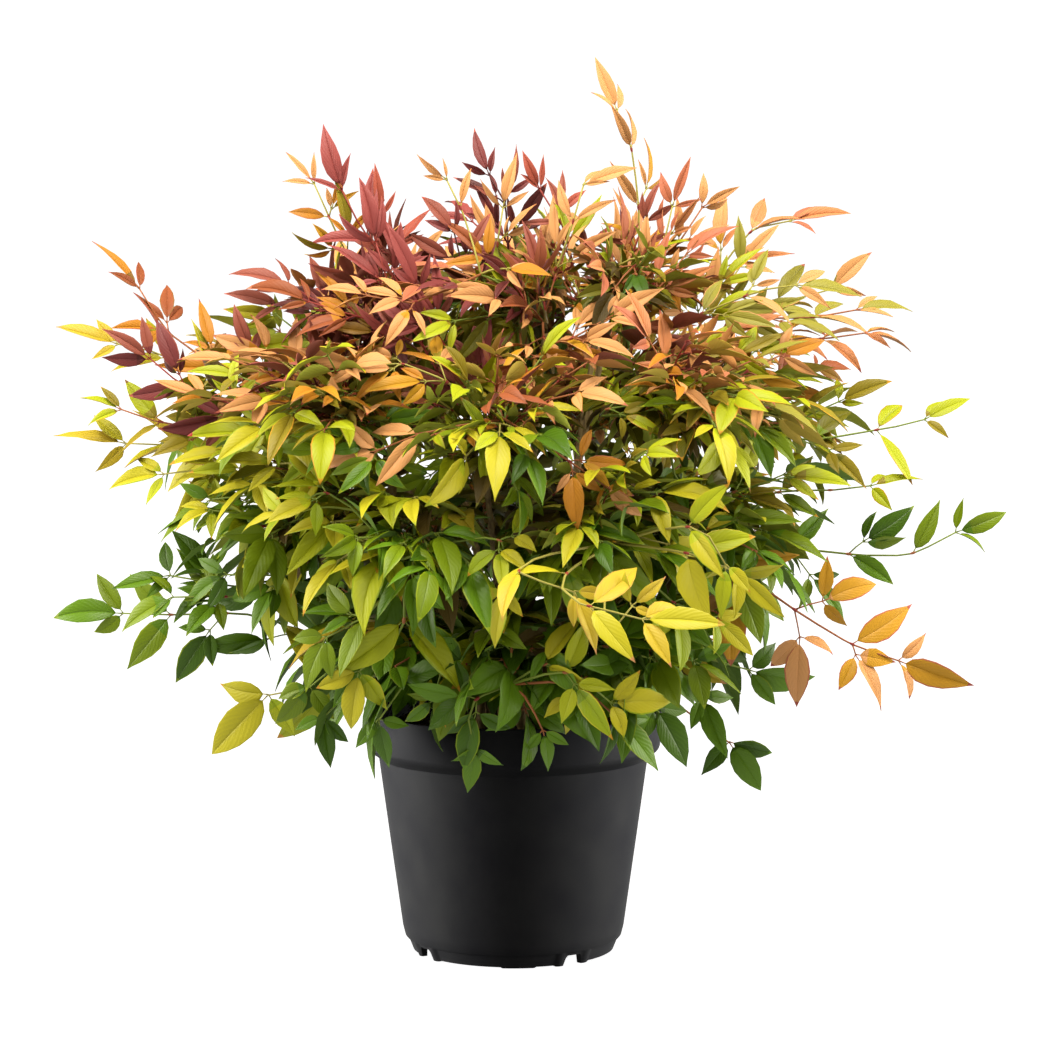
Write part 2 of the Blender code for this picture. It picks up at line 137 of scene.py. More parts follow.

# Crown: the tips of fronds lie on shells, each a share of the way out from the core, and keep apart.
# A shell also says how long its fronds are, how many joints they have, whether their leaflets have
# a margin, how much lower in the crown their family is looked up, and what share of its fronds get
# the darker colours of painted shade from the crown's depth.
CORE = np.array([0.0, 0.0, 0.30])
Shell = namedtuple("Shell", "share apart reach joints edged greener shaded")
SHELLS = (
    Shell(0.97, 0.038, (0.11, 0.18), 4, True, 0.00, 0.0),
    Shell(0.78, 0.041, (0.08, 0.14), 3, False, 0.05, 0.4),
    Shell(0.58, 0.040, (0.06, 0.12), 2, False, 0.10, 0.8),
    Shell(0.38, 0.040, (0.04, 0.10), 2, False, 0.12, 1.0),
    Shell(0.20, 0.034, (0.03, 0.09), 2, False, 0.12, 1.0),
)
SHELL_TRIES = 7000
TOP_THINNED = 0.12
STEEP_FROM = 0.55
STEEP_OVER = 0.35
LOWEST_TIP = 0.130
CROWN_FOOT = 0.15
CROWN_HEIGHT = 0.45
TIP_SHIFT = (-0.020, 0.010)
ROLL_SPREAD = 0.5

# Twigs, each from a fork on a limb to a mass's heart and a little past it
TWIG_POINTS = 18
TWIG_THICK = 0.0017
TWIG_THIN = 0.0010
TWIG_NODE_SWELL = 1.3
FORK_RISE = 0.02
RISE_COST = 0.7
HEART_INWARD = 0.15
TWIG_PAST_HEART = 0.02

# Fronds: their lengths, on one of size 1 and from the tip inwards where they go by joint, the radii of
# their stalks, and how far and how often they stray from the plain form
CURVE_POINTS = 40
FINE = 60
JOINT_STEPS = (0.036, 0.043, 0.047, 0.049, 0.051)
PINNA_REACHES = (0.009, 0.016, 0.022, 0.026)
PINNA_LEAFLETS = (0.038, 0.042, 0.044, 0.044)
LONE_LEAFLET = 0.042
END_LEAFLET = 0.049
SPRIG_END_LEAFLET = 0.044
FIRST_JOINT = 0.012
RACHIS_STEP = 0.020
RACHIS_THICK = 0.0011
RACHIS_THIN = 0.00062
JOINT_HALF = 0.0022
JOINT_SWELL = 1.55
JOINT_COLOURED = 0.0024
PINNA_RADII = (0.0007, 0.0006, 0.00055)
PINNA_ARCH = 0.0006
PETIOLE_LENGTH = 0.0022
PETIOLE_RADII = (0.00055, 0.0004)
PETIOLE_RISE = 0.0001
TRIO_SETBACK = 0.001
BASE_CHOICE = 0.03
STRAY = (0.85, 1.15)
FACING_STRAY = 0.12
SIDE_ANGLES = (0.75, 1.10)
SIDE_SHARES = (0.52, 0.74)
END_SIDE_SHARES = (0.58, 0.78)
SPRIG_SIDE_SHARE = 0.62
SIDE_BROADER = 1.08
LONE_CHANCE = 0.5
FIVE_CHANCE = 0.35

# Leaves keep out of the pot, whose wall is taken as a cone with an upright collar, and out of what
# fills it, by these distances
CLEAR_FOOT_RADIUS = 0.081
CLEAR_COLLAR_FROM = 0.15
CLEAR_OF_WALL = 0.005
CLEAR_ABOVE_RIM = 0.002
CLEAR_ROUND_MEDIUM = 0.006
CLEAR_OVER_MEDIUM = 0.004

# A leaflet's stations along it and columns across it, with a margin or without
STATIONS = np.array([0.0, 0.07, 0.20, 0.38, 0.57, 0.76, 0.90, 1.0])
EDGED = np.array([-1.0, -0.89, 0.0, 0.89, 1.0])
PLAIN = np.array([-1.0, 0.0, 1.0])
LEAF_THICK = 0.00035
BASE_HALF_WIDTH = 0.00035
TIP_HALF_WIDTH = 0.00012

# A leaflet's measures: its width and the depth of its waves as shares of its length, its bend, fold,
# twist, veer and roll in radians, the powers of its outline before and past its widest place, and its
# droop in the lowest fronds and how much of that is lost towards the top
LEAF_WIDTHS = (0.40, 0.52)
LEAF_BENDS = (0.15, 0.70)
LEAF_FOLDS = (0.14, 0.46)
LEAF_TWIST = 0.22
LEAF_VEER = 0.20
LEAF_WAVES = (0.004, 0.014)
LEAF_WAVES_ALONG = 2.2
LEAF_BELLIES = (0.66, 0.86)
LEAF_POINTS = (1.05, 1.42)
LEAF_HEADING_STRAY = 0.14
LEAF_FACING_STRAY = 0.20
LEAF_ROLL = 0.30
LEAF_DROOP = 0.31
DROOPS = (0.3, 1.5)
DROOP_LOST = 0.28
BEND_POWER = 1.25
VEER_FROM = 0.3
MARGIN_LIFT = 0.80

# The photograph shows the plant in bright light, so its own colours are darker than they look
LEAF_BRIGHTNESS = 0.62
LEAF_SHEEN = 0.16

# A leaflet's relief: how close its side veins are and how much they slant, how narrow its midrib is,
# its grain, and how high each of them is in the whole
VEINS_ALONG = 58.0
VEINS_SLANT = 42.0
VEIN_HEIGHT = 0.4
MIDRIB_NARROWNESS = 20.0
MIDRIB_HEIGHT = -3.0
GRAIN_SCALE = 280.0
GRAIN_HEIGHT = 0.35
LEAF_RELIEF = 0.24
LEAF_RELIEF_DEPTH = 0.00045

# Mottled materials: where the noise passes from the dark to the light colour, how far the roughness
# strays, and how deep the relief is
MOTTLE_DARK = 0.34
MOTTLE_LIGHT = 0.68
ROUGHNESS_STRAY = 0.06
RELIEF_DEPTH = 0.0006

# Plain colours of leaves and stalks, as sRGB codes, each with its roughness
SHADES = {
    "forest": ("304e0b", 0.36),
    "fern": ("44640d", 0.36),
    "leaf": ("5c8012", 0.38),
    "moss": ("72880f", 0.40),
    "spring": ("8e9f12", 0.42),
    "lime": ("a8af15", 0.44),
    "chartreuse": ("b9b020", 0.45),
    "lemon": ("c5ab2d", 0.45),
    "straw": ("bd9a38", 0.48),
    "honey": ("c48f20", 0.48),
    "amber": ("c07e20", 0.48),
    "apricot": ("d5985c", 0.50),
    "peach": ("cd8451", 0.50),
    "salmon": ("bc6c4b", 0.50),
    "coral": ("a9503c", 0.50),
    "scarlet": ("b02a22", 0.45),
    "rust": ("96502c", 0.50),
    "rose": ("98503f", 0.50),
    "mallow": ("9a4843", 0.48),
    "wine": ("7a3634", 0.46),
    "burgundy": ("602a27", 0.44),
    "plum": ("432326", 0.42),
    "olive": ("6e6a11", 0.42),
    "khaki": ("90801c", 0.45),
    "pear": ("968f34", 0.46),
    "bronze": ("85601c", 0.48),
    "umber": ("504012", 0.48),
    "sage": ("6d8a38", 0.66),
    "celery": ("a0a83a", 0.66),
    "cream": ("cab04a", 0.66),
    "blush": ("c08446", 0.66),
    "dusk": ("8c4e40", 0.66),
    "stem_green": ("7e8f35", 0.50),
    "stem_straw": ("a9a04a", 0.50),
    "stem_rust": ("a4633a", 0.50),
    "stem_red": ("93392f", 0.48),
    "stem_wine": ("5f2a28", 0.48),
}

# How likely a leaflet has one blade colour only, a tip of its own colour and a margin of its own, and
# how likely the joints on a green stalk are rust and not red
PLAIN_CHANCE = 0.6
TIP_CHANCE = 0.6
MARGIN_CHANCE = 0.5
RUST_CHANCE = 0.6
BLADE_STRAY = 0.75

# How each kind of spray is coloured, from its older leaflets to its tip, and where in the crown it
# grows: round a place across and up, spread by a half width and a half height
Family = namedtuple("Family", "blades tips margins unders stalks x z wide high weight")


def new_family(blades, tips, margins, unders, stalks, x=0.0, z=0.0, wide=1.0, high=1.0, weight=0.0):
    """A family from names with spaces between them. Without a weight it is never dealt out by place."""
    names = (shades.split() for shades in (blades, tips, margins, unders, stalks))
    return Family(*names, x, z, wide, high, weight)


FAMILIES = {
    "forest": new_family(
        "forest fern fern leaf", "fern leaf", "moss leaf", "sage", "stem_green stem_rust",
        x=0.0, z=0.19, wide=1.0, high=0.085, weight=2.0,
    ),
    "fern": new_family(
        "fern leaf moss", "moss spring", "spring moss", "sage", "stem_green",
        x=0.0, z=0.31, wide=1.0, high=0.08, weight=1.1,
    ),
    "lime": new_family(
        "moss spring lime chartreuse", "lime honey", "chartreuse spring", "celery", "stem_green stem_straw",
        x=-0.14, z=0.37, wide=0.3, high=0.08, weight=1.3,
    ),
    "lemon": new_family(
        "lime chartreuse chartreuse lemon", "straw apricot", "straw", "cream", "stem_straw",
        x=0.05, z=0.27, wide=0.22, high=0.045, weight=0.12,
    ),
    "olive": new_family(
        "moss olive khaki lime", "bronze honey", "khaki honey", "celery", "stem_green stem_rust",
        x=0.12, z=0.43, wide=0.32, high=0.095, weight=1.8,
    ),
    "pear": new_family(
        "pear pear apricot", "salmon peach", "khaki apricot", "cream", "stem_rust stem_straw",
        x=0.21, z=0.49, wide=0.13, high=0.08, weight=1.2,
    ),
    # Inner fronds: darker greens and browns, partly the older leaves' own colour and partly painted shade of
    # the crown's depth
    "shaded": new_family(
        "forest fern olive umber", "fern olive", "fern", "olive", "stem_green stem_rust",
    ),
    "apricot": new_family(
        "honey apricot apricot", "peach salmon", "apricot peach", "blush", "stem_straw stem_rust",
        x=0.04, z=0.52, wide=0.2, high=0.08, weight=0.8,
    ),
    "gold": new_family(
        "apricot honey apricot", "coral salmon", "salmon", "cream", "stem_rust",
    ),
    "redtip": new_family(
        "spring lime lime", "scarlet coral", "chartreuse", "celery", "stem_green stem_red",
        x=-0.2, z=0.41, wide=0.14, high=0.05, weight=0.3,
    ),
    "russet": new_family(
        "bronze amber rust", "coral salmon", "bronze coral", "dusk blush", "stem_rust stem_red",
        x=0.02, z=0.47, wide=0.28, high=0.07, weight=0.9,
    ),
    "amber": new_family(
        "khaki honey amber apricot", "salmon coral", "amber salmon", "cream", "stem_straw stem_rust",
        x=0.04, z=0.47, wide=0.32, high=0.065, weight=1.0,
    ),
    "peach": new_family(
        "honey apricot peach salmon", "salmon coral", "peach salmon", "blush", "stem_rust stem_straw",
        x=0.18, z=0.54, wide=0.21, high=0.1, weight=1.2,
    ),
    "rose": new_family(
        "rust rose mallow mallow", "mallow coral", "mallow", "dusk", "stem_red",
        x=-0.1, z=0.55, wide=0.13, high=0.065, weight=0.7,
    ),
    "coral": new_family(
        "bronze rose coral coral", "coral salmon", "coral", "dusk blush", "stem_red",
        x=-0.12, z=0.58, wide=0.14, high=0.07, weight=0.5,
    ),
    "burgundy": new_family(
        "umber burgundy wine rose", "wine coral", "rose wine", "dusk", "stem_red stem_wine",
        x=-0.11, z=0.51, wide=0.17, high=0.065, weight=0.6,
    ),
    "plum": new_family(
        "plum burgundy wine", "wine", "wine", "dusk", "stem_wine",
        x=0.0, z=0.51, wide=0.16, high=0.06, weight=0.25,
    ),
}

# Studio: softboxes that light the plant but not the floor, and two that light only the pot
FLOOR_HALF = 12.0
FLOOR_HEIGHT = -0.0004
FLOOR_GLOW = 1.0
BACKDROP_STRENGTH = 1.1
FILL_COLOUR = (1.0, 0.95, 0.88)
FILL_STRENGTH = 0.30
WARM = (1.0, 0.95, 0.84)
WHITE = (1.0, 1.0, 1.0)
CROWN_AIM = (0.0, 0.0, 0.33)
POT_AIM = (0.0, 0.0, 0.10)
Softbox = namedtuple("Softbox", "name place size power")
CROWN_SOFTBOXES = (
    Softbox("left_softbox", (-2.3, -0.1, 1.1), (1.4, 2.0), 124),
    Softbox("right_softbox", (2.3, 0.1, 1.1), (1.4, 2.0), 110),
    Softbox("top_softbox", (0.0, -0.9, 2.6), (1.8, 1.4), 160),
    Softbox("front_fill", (-0.8, -3.2, 2.4), (1.2, 1.2), 30),
)
POT_SOFTBOXES = (
    Softbox("left_strip", (-1.5, 0.15, 0.30), (1.2, 0.8), 450),
    Softbox("right_strip", (1.5, 0.15, 0.30), (1.2, 0.8), 350),
)

# Which way the upper side of a sprig faces
TO_CAMERA = (0.0, -1.0, 0.2)
TO_SIDE = (0.8, -0.6, 0.2)
OBLIQUE = (0.0, -1.0, 0.9)
TO_SKY = (0.0, -0.4, 1.0)
TO_BACK = (0.1, 0.8, 0.8)

# Sprigs that show against the white or stand out in front, each after the photograph: its family and
# size, its depth, the way it faces, where its rachis leaves the crown and where its tip is, across and
# up, how far its middle bows to the left of a straight line, as a share of its length, and how many
# leaflets its side branches have, pair by pair from the tip. With a node it takes the place of that
# packed spray.
Sprig = namedtuple("Sprig", "family size depth facing start tip bow pinnae node", defaults=("",))
SPRIGS = [Sprig(*row) for row in (
    # Top, from left to right
    ("amber", 0.8, -0.05, TO_CAMERA, (-0.12, 0.53), (-0.17, 0.615), -0.07, "31 33"),
    ("rose", 1.1, -0.06, TO_CAMERA, (-0.055, 0.485), (-0.15, 0.625), 0.05, "11 33 33", "spray_top_left"),
    ("rose", 1.1, -0.09, TO_CAMERA, (-0.05, 0.44), (-0.115, 0.59), 0.05, "33 33 33"),
    ("rose", 1.1, -0.1, TO_CAMERA, (-0.02, 0.42), (-0.085, 0.555), 0.05, "33 33 33"),
    ("apricot", 0.65, -0.06, TO_CAMERA, (-0.035, 0.56), (-0.07, 0.61), -0.1, "10"),
    ("burgundy", 0.85, -0.06, TO_CAMERA, (-0.025, 0.49), (-0.06, 0.585), -0.05, "33 33"),
    ("burgundy", 0.8, -0.03, TO_CAMERA, (0.0, 0.515), (-0.035, 0.625), -0.1, "33 33", "spray_top_middle"),
    ("coral", 0.8, -0.04, TO_CAMERA, (0.045, 0.53), (0.005, 0.615), 0.0, "31 33"),
    ("apricot", 0.85, -0.06, OBLIQUE, (0.035, 0.53), (0.085, 0.605), 0.25, "11 33"),
    ("apricot", 0.9, -0.01, TO_SIDE, (0.095, 0.535), (0.065, 0.68), -0.07, "11 31 13 33", "spray_top"),
    ("burgundy", 0.75, -0.02, TO_CAMERA, (0.085, 0.52), (0.11, 0.59), 0.0, "33"),
    ("apricot", 0.8, 0.02, TO_CAMERA, (0.12, 0.535), (0.17, 0.595), 0.05, "31 33"),
    ("peach", 1.0, 0.03, TO_SKY, (0.135, 0.5), (0.255, 0.57), 0.15, "11 33", "spray_top_right"),
    ("pear", 1.15, 0.0, TO_CAMERA, (0.14, 0.485), (0.205, 0.565), 0.0, "11 33"),
    ("pear", 1.1, 0.03, TO_CAMERA, (0.16, 0.475), (0.285, 0.535), -0.08, "11 33"),
    ("olive", 1.0, -0.04, OBLIQUE, (0.12, 0.46), (0.185, 0.545), 0.05, "33 33"),
    ("peach", 0.85, -0.03, TO_CAMERA, (0.1, 0.5), (0.135, 0.605), 0.05, "31 33"),
    ("peach", 0.9, -0.05, OBLIQUE, (0.08, 0.48), (0.16, 0.56), 0.05, "33 33"),
    ("coral", 0.85, -0.05, TO_CAMERA, (-0.085, 0.5), (-0.1, 0.6), 0.05, "33 33"),
    ("apricot", 0.8, -0.04, TO_CAMERA, (-0.01, 0.53), (-0.005, 0.605), 0.0, "33"),
    # Right, from top to bottom
    ("pear", 1.0, 0.0, TO_SKY, (0.165, 0.475), (0.305, 0.5), 0.0, "11 33"),
    ("peach", 1.0, 0.03, TO_SKY, (0.175, 0.46), (0.315, 0.48), 0.0, "11 33", "spray_right_high"),
    ("pear", 0.95, -0.08, OBLIQUE, (0.11, 0.47), (0.25, 0.52), 0.08, "13 31"),
    ("olive", 0.95, -0.1, OBLIQUE, (0.11, 0.44), (0.205, 0.47), 0.05, "33"),
    ("olive", 1.0, 0.0, OBLIQUE, (0.22, 0.41), (0.28, 0.445), -0.05, "11 33"),
    ("olive", 1.0, -0.02, OBLIQUE, (0.21, 0.395), (0.355, 0.42), -0.03, "11 31 13", "spray_right_middle"),
    ("olive", 0.9, -0.03, OBLIQUE, (0.185, 0.35), (0.31, 0.365), 0.0, "00 11 33"),
    ("fern", 1.0, 0.0, TO_CAMERA, (0.21, 0.31), (0.38, 0.34), -0.12, "01 13 31", "spray_right_far"),
    ("gold", 1.15, -0.08, TO_CAMERA, (0.165, 0.305), (0.335, 0.215), -0.06, "31 33 31", "spray_right_low"),
    ("forest", 1.2, -0.05, TO_CAMERA, (0.125, 0.235), (0.23, 0.21), 0.0, "00 33"),
    ("forest", 1.1, -0.03, TO_CAMERA, (0.11, 0.205), (0.185, 0.12), 0.15, "00 33", "spray_right_foot"),
    ("olive", 1.05, -0.08, OBLIQUE, (0.13, 0.36), (0.25, 0.37), 0.05, "33 33"),
    ("fern", 1.1, -0.1, OBLIQUE, (0.11, 0.335), (0.21, 0.335), 0.05, "33"),
    ("forest", 1.2, -0.1, OBLIQUE, (0.09, 0.26), (0.175, 0.23), 0.1, "33"),
    ("forest", 1.2, -0.06, OBLIQUE, (0.08, 0.24), (0.155, 0.19), 0.1, "33"),
    ("fern", 1.15, -0.12, OBLIQUE, (0.06, 0.25), (0.14, 0.21), 0.1, "33"),
    ("forest", 1.15, -0.13, OBLIQUE, (0.07, 0.235), (0.135, 0.165), 0.05, "33"),
    ("forest", 1.15, -0.15, OBLIQUE, (0.045, 0.225), (0.105, 0.165), 0.05, "33"),
    ("olive", 0.95, -0.13, OBLIQUE, (0.06, 0.42), (0.145, 0.43), 0.05, "33"),
    ("forest", 1.2, -0.08, OBLIQUE, (0.11, 0.225), (0.165, 0.17), 0.1, "33"),
    ("fern", 1.1, -0.11, OBLIQUE, (0.095, 0.245), (0.17, 0.21), 0.1, "33"),
    ("lime", 1.0, -0.14, OBLIQUE, (0.115, 0.285), (0.18, 0.25), 0.05, "33"),
    # Front, among the lower leaves
    ("lemon", 1.15, -0.26, OBLIQUE, (0.005, 0.32), (0.06, 0.265), 0.2, "10"),
    ("lemon", 1.2, -0.27, OBLIQUE, (0.035, 0.305), (0.14, 0.27), 0.0, "11 10", "spray_front"),
    ("lemon", 1.0, -0.26, TO_CAMERA, (0.065, 0.275), (0.105, 0.32), 0.0, ""),
    ("lime", 1.1, -0.2, TO_CAMERA, (0.125, 0.325), (0.19, 0.28), 0.1, "11"),
    ("lime", 1.1, -0.22, TO_CAMERA, (0.13, 0.345), (0.145, 0.285), 0.2, "11"),
    ("forest", 1.15, -0.15, TO_CAMERA, (-0.03, 0.21), (-0.025, 0.14), 0.0, "33", "spray_front_drop"),
    ("forest", 1.15, -0.15, TO_CAMERA, (0.01, 0.215), (0.03, 0.16), 0.05, "33"),
    ("lime", 1.05, -0.16, TO_CAMERA, (0.04, 0.235), (0.115, 0.205), -0.1, "31 11"),
    ("lime", 1.0, -0.15, TO_CAMERA, (0.03, 0.24), (0.04, 0.185), 0.1, "11"),
    ("fern", 1.15, -0.13, TO_CAMERA, (-0.05, 0.235), (-0.078, 0.19), 0.1, "11"),
    ("apricot", 1.0, -0.18, OBLIQUE, (-0.06, 0.41), (-0.14, 0.39), 0.05, "11"),
    ("fern", 0.95, -0.17, OBLIQUE, (-0.09, 0.4), (-0.175, 0.4), 0.05, "33 33"),
    ("lime", 1.05, -0.17, OBLIQUE, (-0.13, 0.365), (-0.205, 0.345), 0.05, "33"),
    ("lime", 1.0, -0.12, OBLIQUE, (-0.13, 0.39), (-0.215, 0.385), 0.05, "33 33"),
    ("russet", 0.95, -0.12, OBLIQUE, (0.01, 0.46), (0.075, 0.465), 0.05, "33"),
    ("lime", 1.0, -0.2, OBLIQUE, (-0.01, 0.335), (-0.02, 0.26), 0.1, "33"),
    ("amber", 0.95, -0.19, OBLIQUE, (0.04, 0.39), (0.085, 0.34), 0.1, "33"),
    ("apricot", 0.9, -0.13, OBLIQUE, (-0.075, 0.5), (-0.14, 0.52), 0.05, "33"),
    ("amber", 0.95, -0.15, OBLIQUE, (-0.07, 0.455), (-0.15, 0.465), 0.05, "33 33"),
    ("fern", 1.0, -0.1, OBLIQUE, (-0.035, 0.39), (-0.095, 0.36), 0.05, "33"),
    ("apricot", 0.95, -0.12, OBLIQUE, (0.03, 0.47), (0.11, 0.5), 0.05, "33 33"),
    # Left, from bottom to top
    ("forest", 1.15, -0.14, TO_CAMERA, (-0.08, 0.225), (-0.09, 0.165), -0.2, "11"),
    ("lime", 1.35, -0.16, TO_CAMERA, (-0.08, 0.265), (-0.12, 0.19), -0.15, "11"),
    ("forest", 1.1, -0.1, TO_CAMERA, (-0.115, 0.22), (-0.14, 0.155), -0.2, "31"),
    ("lime", 1.35, -0.05, TO_CAMERA, (-0.125, 0.215), (-0.22, 0.155), -0.2, "11 31", "spray_left_drop"),
    ("fern", 1.0, -0.16, OBLIQUE, (-0.095, 0.285), (-0.16, 0.225), -0.1, "31"),
    ("fern", 1.15, -0.08, OBLIQUE, (-0.12, 0.235), (-0.175, 0.175), -0.1, "33"),
    ("forest", 1.1, -0.05, OBLIQUE, (-0.15, 0.3), (-0.26, 0.275), -0.1, "33 33"),
    ("fern", 1.05, -0.05, OBLIQUE, (-0.15, 0.355), (-0.27, 0.335), -0.1, "33 33"),
    ("fern", 1.1, 0.01, TO_CAMERA, (-0.19, 0.255), (-0.35, 0.26), 0.0, "11 33 33", "spray_left_foot"),
    ("forest", 1.1, -0.02, OBLIQUE, (-0.19, 0.285), (-0.31, 0.295), 0.0, "33 33"),
    ("fern", 1.0, -0.04, OBLIQUE, (-0.18, 0.285), (-0.3, 0.265), -0.05, "33 33"),
    ("olive", 0.9, -0.02, OBLIQUE, (-0.2, 0.4), (-0.335, 0.43), 0.05, "11 33"),
    ("lime", 1.05, -0.03, OBLIQUE, (-0.205, 0.37), (-0.31, 0.36), -0.05, "33 33"),
    ("lemon", 1.1, 0.0, OBLIQUE, (-0.2, 0.39), (-0.345, 0.395), 0.03, "11 33", "spray_left_low"),
    ("redtip", 1.2, -0.1, OBLIQUE, (-0.155, 0.41), (-0.235, 0.4), 0.0, "11"),
    ("redtip", 1.05, -0.08, TO_CAMERA, (-0.185, 0.41), (-0.205, 0.46), 0.2, "11"),
    ("amber", 1.15, -0.06, OBLIQUE, (-0.195, 0.425), (-0.275, 0.435), 0.0, "11"),
    ("burgundy", 1.05, -0.03, TO_CAMERA, (-0.175, 0.41), (-0.31, 0.485), 0.08, "31 33"),
    ("lemon", 1.0, 0.0, OBLIQUE, (-0.215, 0.435), (-0.345, 0.475), -0.05, "11 11", "spray_left_middle"),
    ("russet", 1.0, 0.0, TO_SIDE, (-0.185, 0.425), (-0.31, 0.545), 0.1, "33 31", "spray_left_high"),
    ("burgundy", 1.0, -0.06, TO_CAMERA, (-0.185, 0.435), (-0.205, 0.495), 0.0, "33"),
    ("lime", 1.0, -0.04, OBLIQUE, (-0.135, 0.46), (-0.22, 0.5), -0.1, "11"),
    ("burgundy", 1.0, -0.06, OBLIQUE, (-0.11, 0.48), (-0.205, 0.535), 0.0, "33 33"),
    ("russet", 1.0, -0.08, OBLIQUE, (-0.09, 0.47), (-0.19, 0.52), 0.0, "33 33"),
    ("burgundy", 0.9, -0.05, OBLIQUE, (-0.1, 0.49), (-0.215, 0.5), 0.0, "33 33 33"),
    # Back, where the photograph doesn't show
    ("amber", 1.1, 0.28, TO_BACK, (-0.02, 0.43), (-0.11, 0.45), 0.1, "33 33", "spray_back"),
    ("lime", 1.1, 0.26, TO_BACK, (0.11, 0.35), (0.195, 0.31), 0.1, "33 33", "spray_back_right"),
)]


def unit(vector):
    return vector / max(float(norm(vector)), 1e-9)


def square_to(vector, axis):
    """The part of a vector that is square to an axis, as a unit vector."""
    return unit(vector - axis * float(vector @ axis))


def turned(vector, axis, angle):
    """A vector turned round a unit axis."""
    cos, sin = math.cos(angle), math.sin(angle)
    return vector * cos + np.cross(axis, vector) * sin + axis * float(axis @ vector) * (1 - cos)


def linear(code):
    """An sRGB code as the linear colour that a shader takes."""
    found = []
    for i in (0, 2, 4):
        c = int(code[i : i + 2], 16) / 255
        found.append(c / 12.92 if c <= 0.04045 else ((c + 0.055) / 1.055) ** 2.4)
    return (*found, 1.0)


# Materials


def set_inputs(tree, node, **inputs):
    """Set a node's inputs to values, or link them to the outputs of other nodes."""
    for name, value in inputs.items():
        socket = node.inputs[name.replace("_", " ")]
        if isinstance(value, bpy.types.NodeSocket):
            tree.links.new(value, socket)
        else:
            socket.default_value = value
    return node


def add_node(tree, kind, **inputs):
    return set_inputs(tree, tree.nodes.new(kind), **inputs)


def new_material(name, colour, roughness, specular):
    """A material of one colour, with its node tree and its shader."""
    material = bpy.data.materials.new(name)
    material.use_nodes = True
    material.diffuse_color = colour
    tree = material.node_tree
    shader = tree.nodes["Principled BSDF"]
    set_inputs(tree, shader, Base_Color=colour, Roughness=roughness, Specular_IOR_Level=specular)
    return material, tree, shader


def add_math(tree, operation, first, second=None):
    node = tree.nodes.new("ShaderNodeMath")
    node.operation = operation
    for slot, value in enumerate((first, second)):
        if isinstance(value, (int, float)):
            node.inputs[slot].default_value = value
        elif value is not None:
            tree.links.new(value, node.inputs[slot])
    return node.outputs[0]


def vein_group():
    """The relief of a leaflet: side veins that slant from its midrib, and a fine grain."""
    group = bpy.data.node_groups.new("leaf_relief", "ShaderNodeTree")
    group.interface.new_socket("Normal", in_out="OUTPUT", socket_type="NodeSocketVector")
    out = group.nodes.new("NodeGroupOutput")
    uv = group.nodes.new("ShaderNodeUVMap")
    uv.uv_map = "leaf"
    split = add_node(group, "ShaderNodeSeparateXYZ", Vector=uv.outputs[0])
    across = add_math(group, "ABSOLUTE", add_math(group, "SUBTRACT", split.outputs[0], 0.5))
    along = add_math(group, "MULTIPLY", split.outputs[1], VEINS_ALONG)
    slant = add_math(group, "MULTIPLY", across, VEINS_SLANT)
    wave = add_math(group, "SINE", add_math(group, "SUBTRACT", along, slant))
    place = group.nodes.new("ShaderNodeTexCoord")
    grain = add_node(
        group, "ShaderNodeTexNoise", Vector=place.outputs["Object"], Scale=GRAIN_SCALE, Detail=1.0
    )
    crumb = add_math(group, "MULTIPLY", grain.outputs[0], GRAIN_HEIGHT)
    away = add_math(group, "MULTIPLY", across, MIDRIB_NARROWNESS)
    rib = add_math(group, "MAXIMUM", add_math(group, "SUBTRACT", 1.0, away), 0.0)
    veins = add_math(group, "MULTIPLY", wave, VEIN_HEIGHT)
    midrib = add_math(group, "MULTIPLY", rib, MIDRIB_HEIGHT)
    height = add_math(group, "ADD", add_math(group, "ADD", veins, midrib), crumb)
    bump = add_node(
        group, "ShaderNodeBump", Strength=LEAF_RELIEF, Distance=LEAF_RELIEF_DEPTH, Height=height
    )
    group.links.new(bump.outputs[0], out.inputs[0])
    return group


def shade_materials():
    """One plain colour each, in a fixed order, all with the leaflets' relief."""
    group = vein_group()
    made = []
    for name, (code, roughness) in SHADES.items():
        colour = [c * LEAF_BRIGHTNESS for c in linear(code)[:3]]
        material, tree, shader = new_material(f"shade_{name}", (*colour, 1.0), roughness, LEAF_SHEEN)
        relief = tree.nodes.new("ShaderNodeGroup")
        relief.node_tree = group
        set_inputs(tree, shader, Normal=relief.outputs[0])
        made.append(material)
    return made


def mottled_material(name, dark, light, scale, roughness, specular, bump, bump_scale, stretch=(1, 1, 1)):
    """Two colours mixed by noise, with rough and smooth patches and relief."""
    material, tree, shader = new_material(name, linear(light), roughness, specular)
    place = tree.nodes.new("ShaderNodeTexCoord")
    mapping = add_node(tree, "ShaderNodeMapping", Vector=place.outputs["Object"], Scale=stretch)
    spot = mapping.outputs[0]
    broad = add_node(tree, "ShaderNodeTexNoise", Vector=spot, Scale=scale, Detail=6.0, Roughness=0.62)
    ramp = add_node(tree, "ShaderNodeValToRGB", Fac=broad.outputs[0])
    for element, share, code in zip(ramp.color_ramp.elements, (MOTTLE_DARK, MOTTLE_LIGHT), (dark, light)):
        element.position = share
        element.color = linear(code)
    spread = add_node(
        tree, "ShaderNodeMapRange", Value=broad.outputs[0],
        To_Min=roughness - ROUGHNESS_STRAY, To_Max=roughness + ROUGHNESS_STRAY,
    )
    fine = add_node(tree, "ShaderNodeTexNoise", Vector=spot, Scale=bump_scale, Detail=4.0)
    relief = add_node(tree, "ShaderNodeBump", Strength=bump, Distance=RELIEF_DEPTH, Height=fine.outputs[0])
    mixed, rough, normal = ramp.outputs[0], spread.outputs[0], relief.outputs[0]
    set_inputs(tree, shader, Base_Color=mixed, Roughness=rough, Normal=normal)
    return material


# Meshes


def new_object(name, data):
    obj = bpy.data.objects.new(name, data)
    bpy.context.scene.collection.objects.link(obj)
    return obj


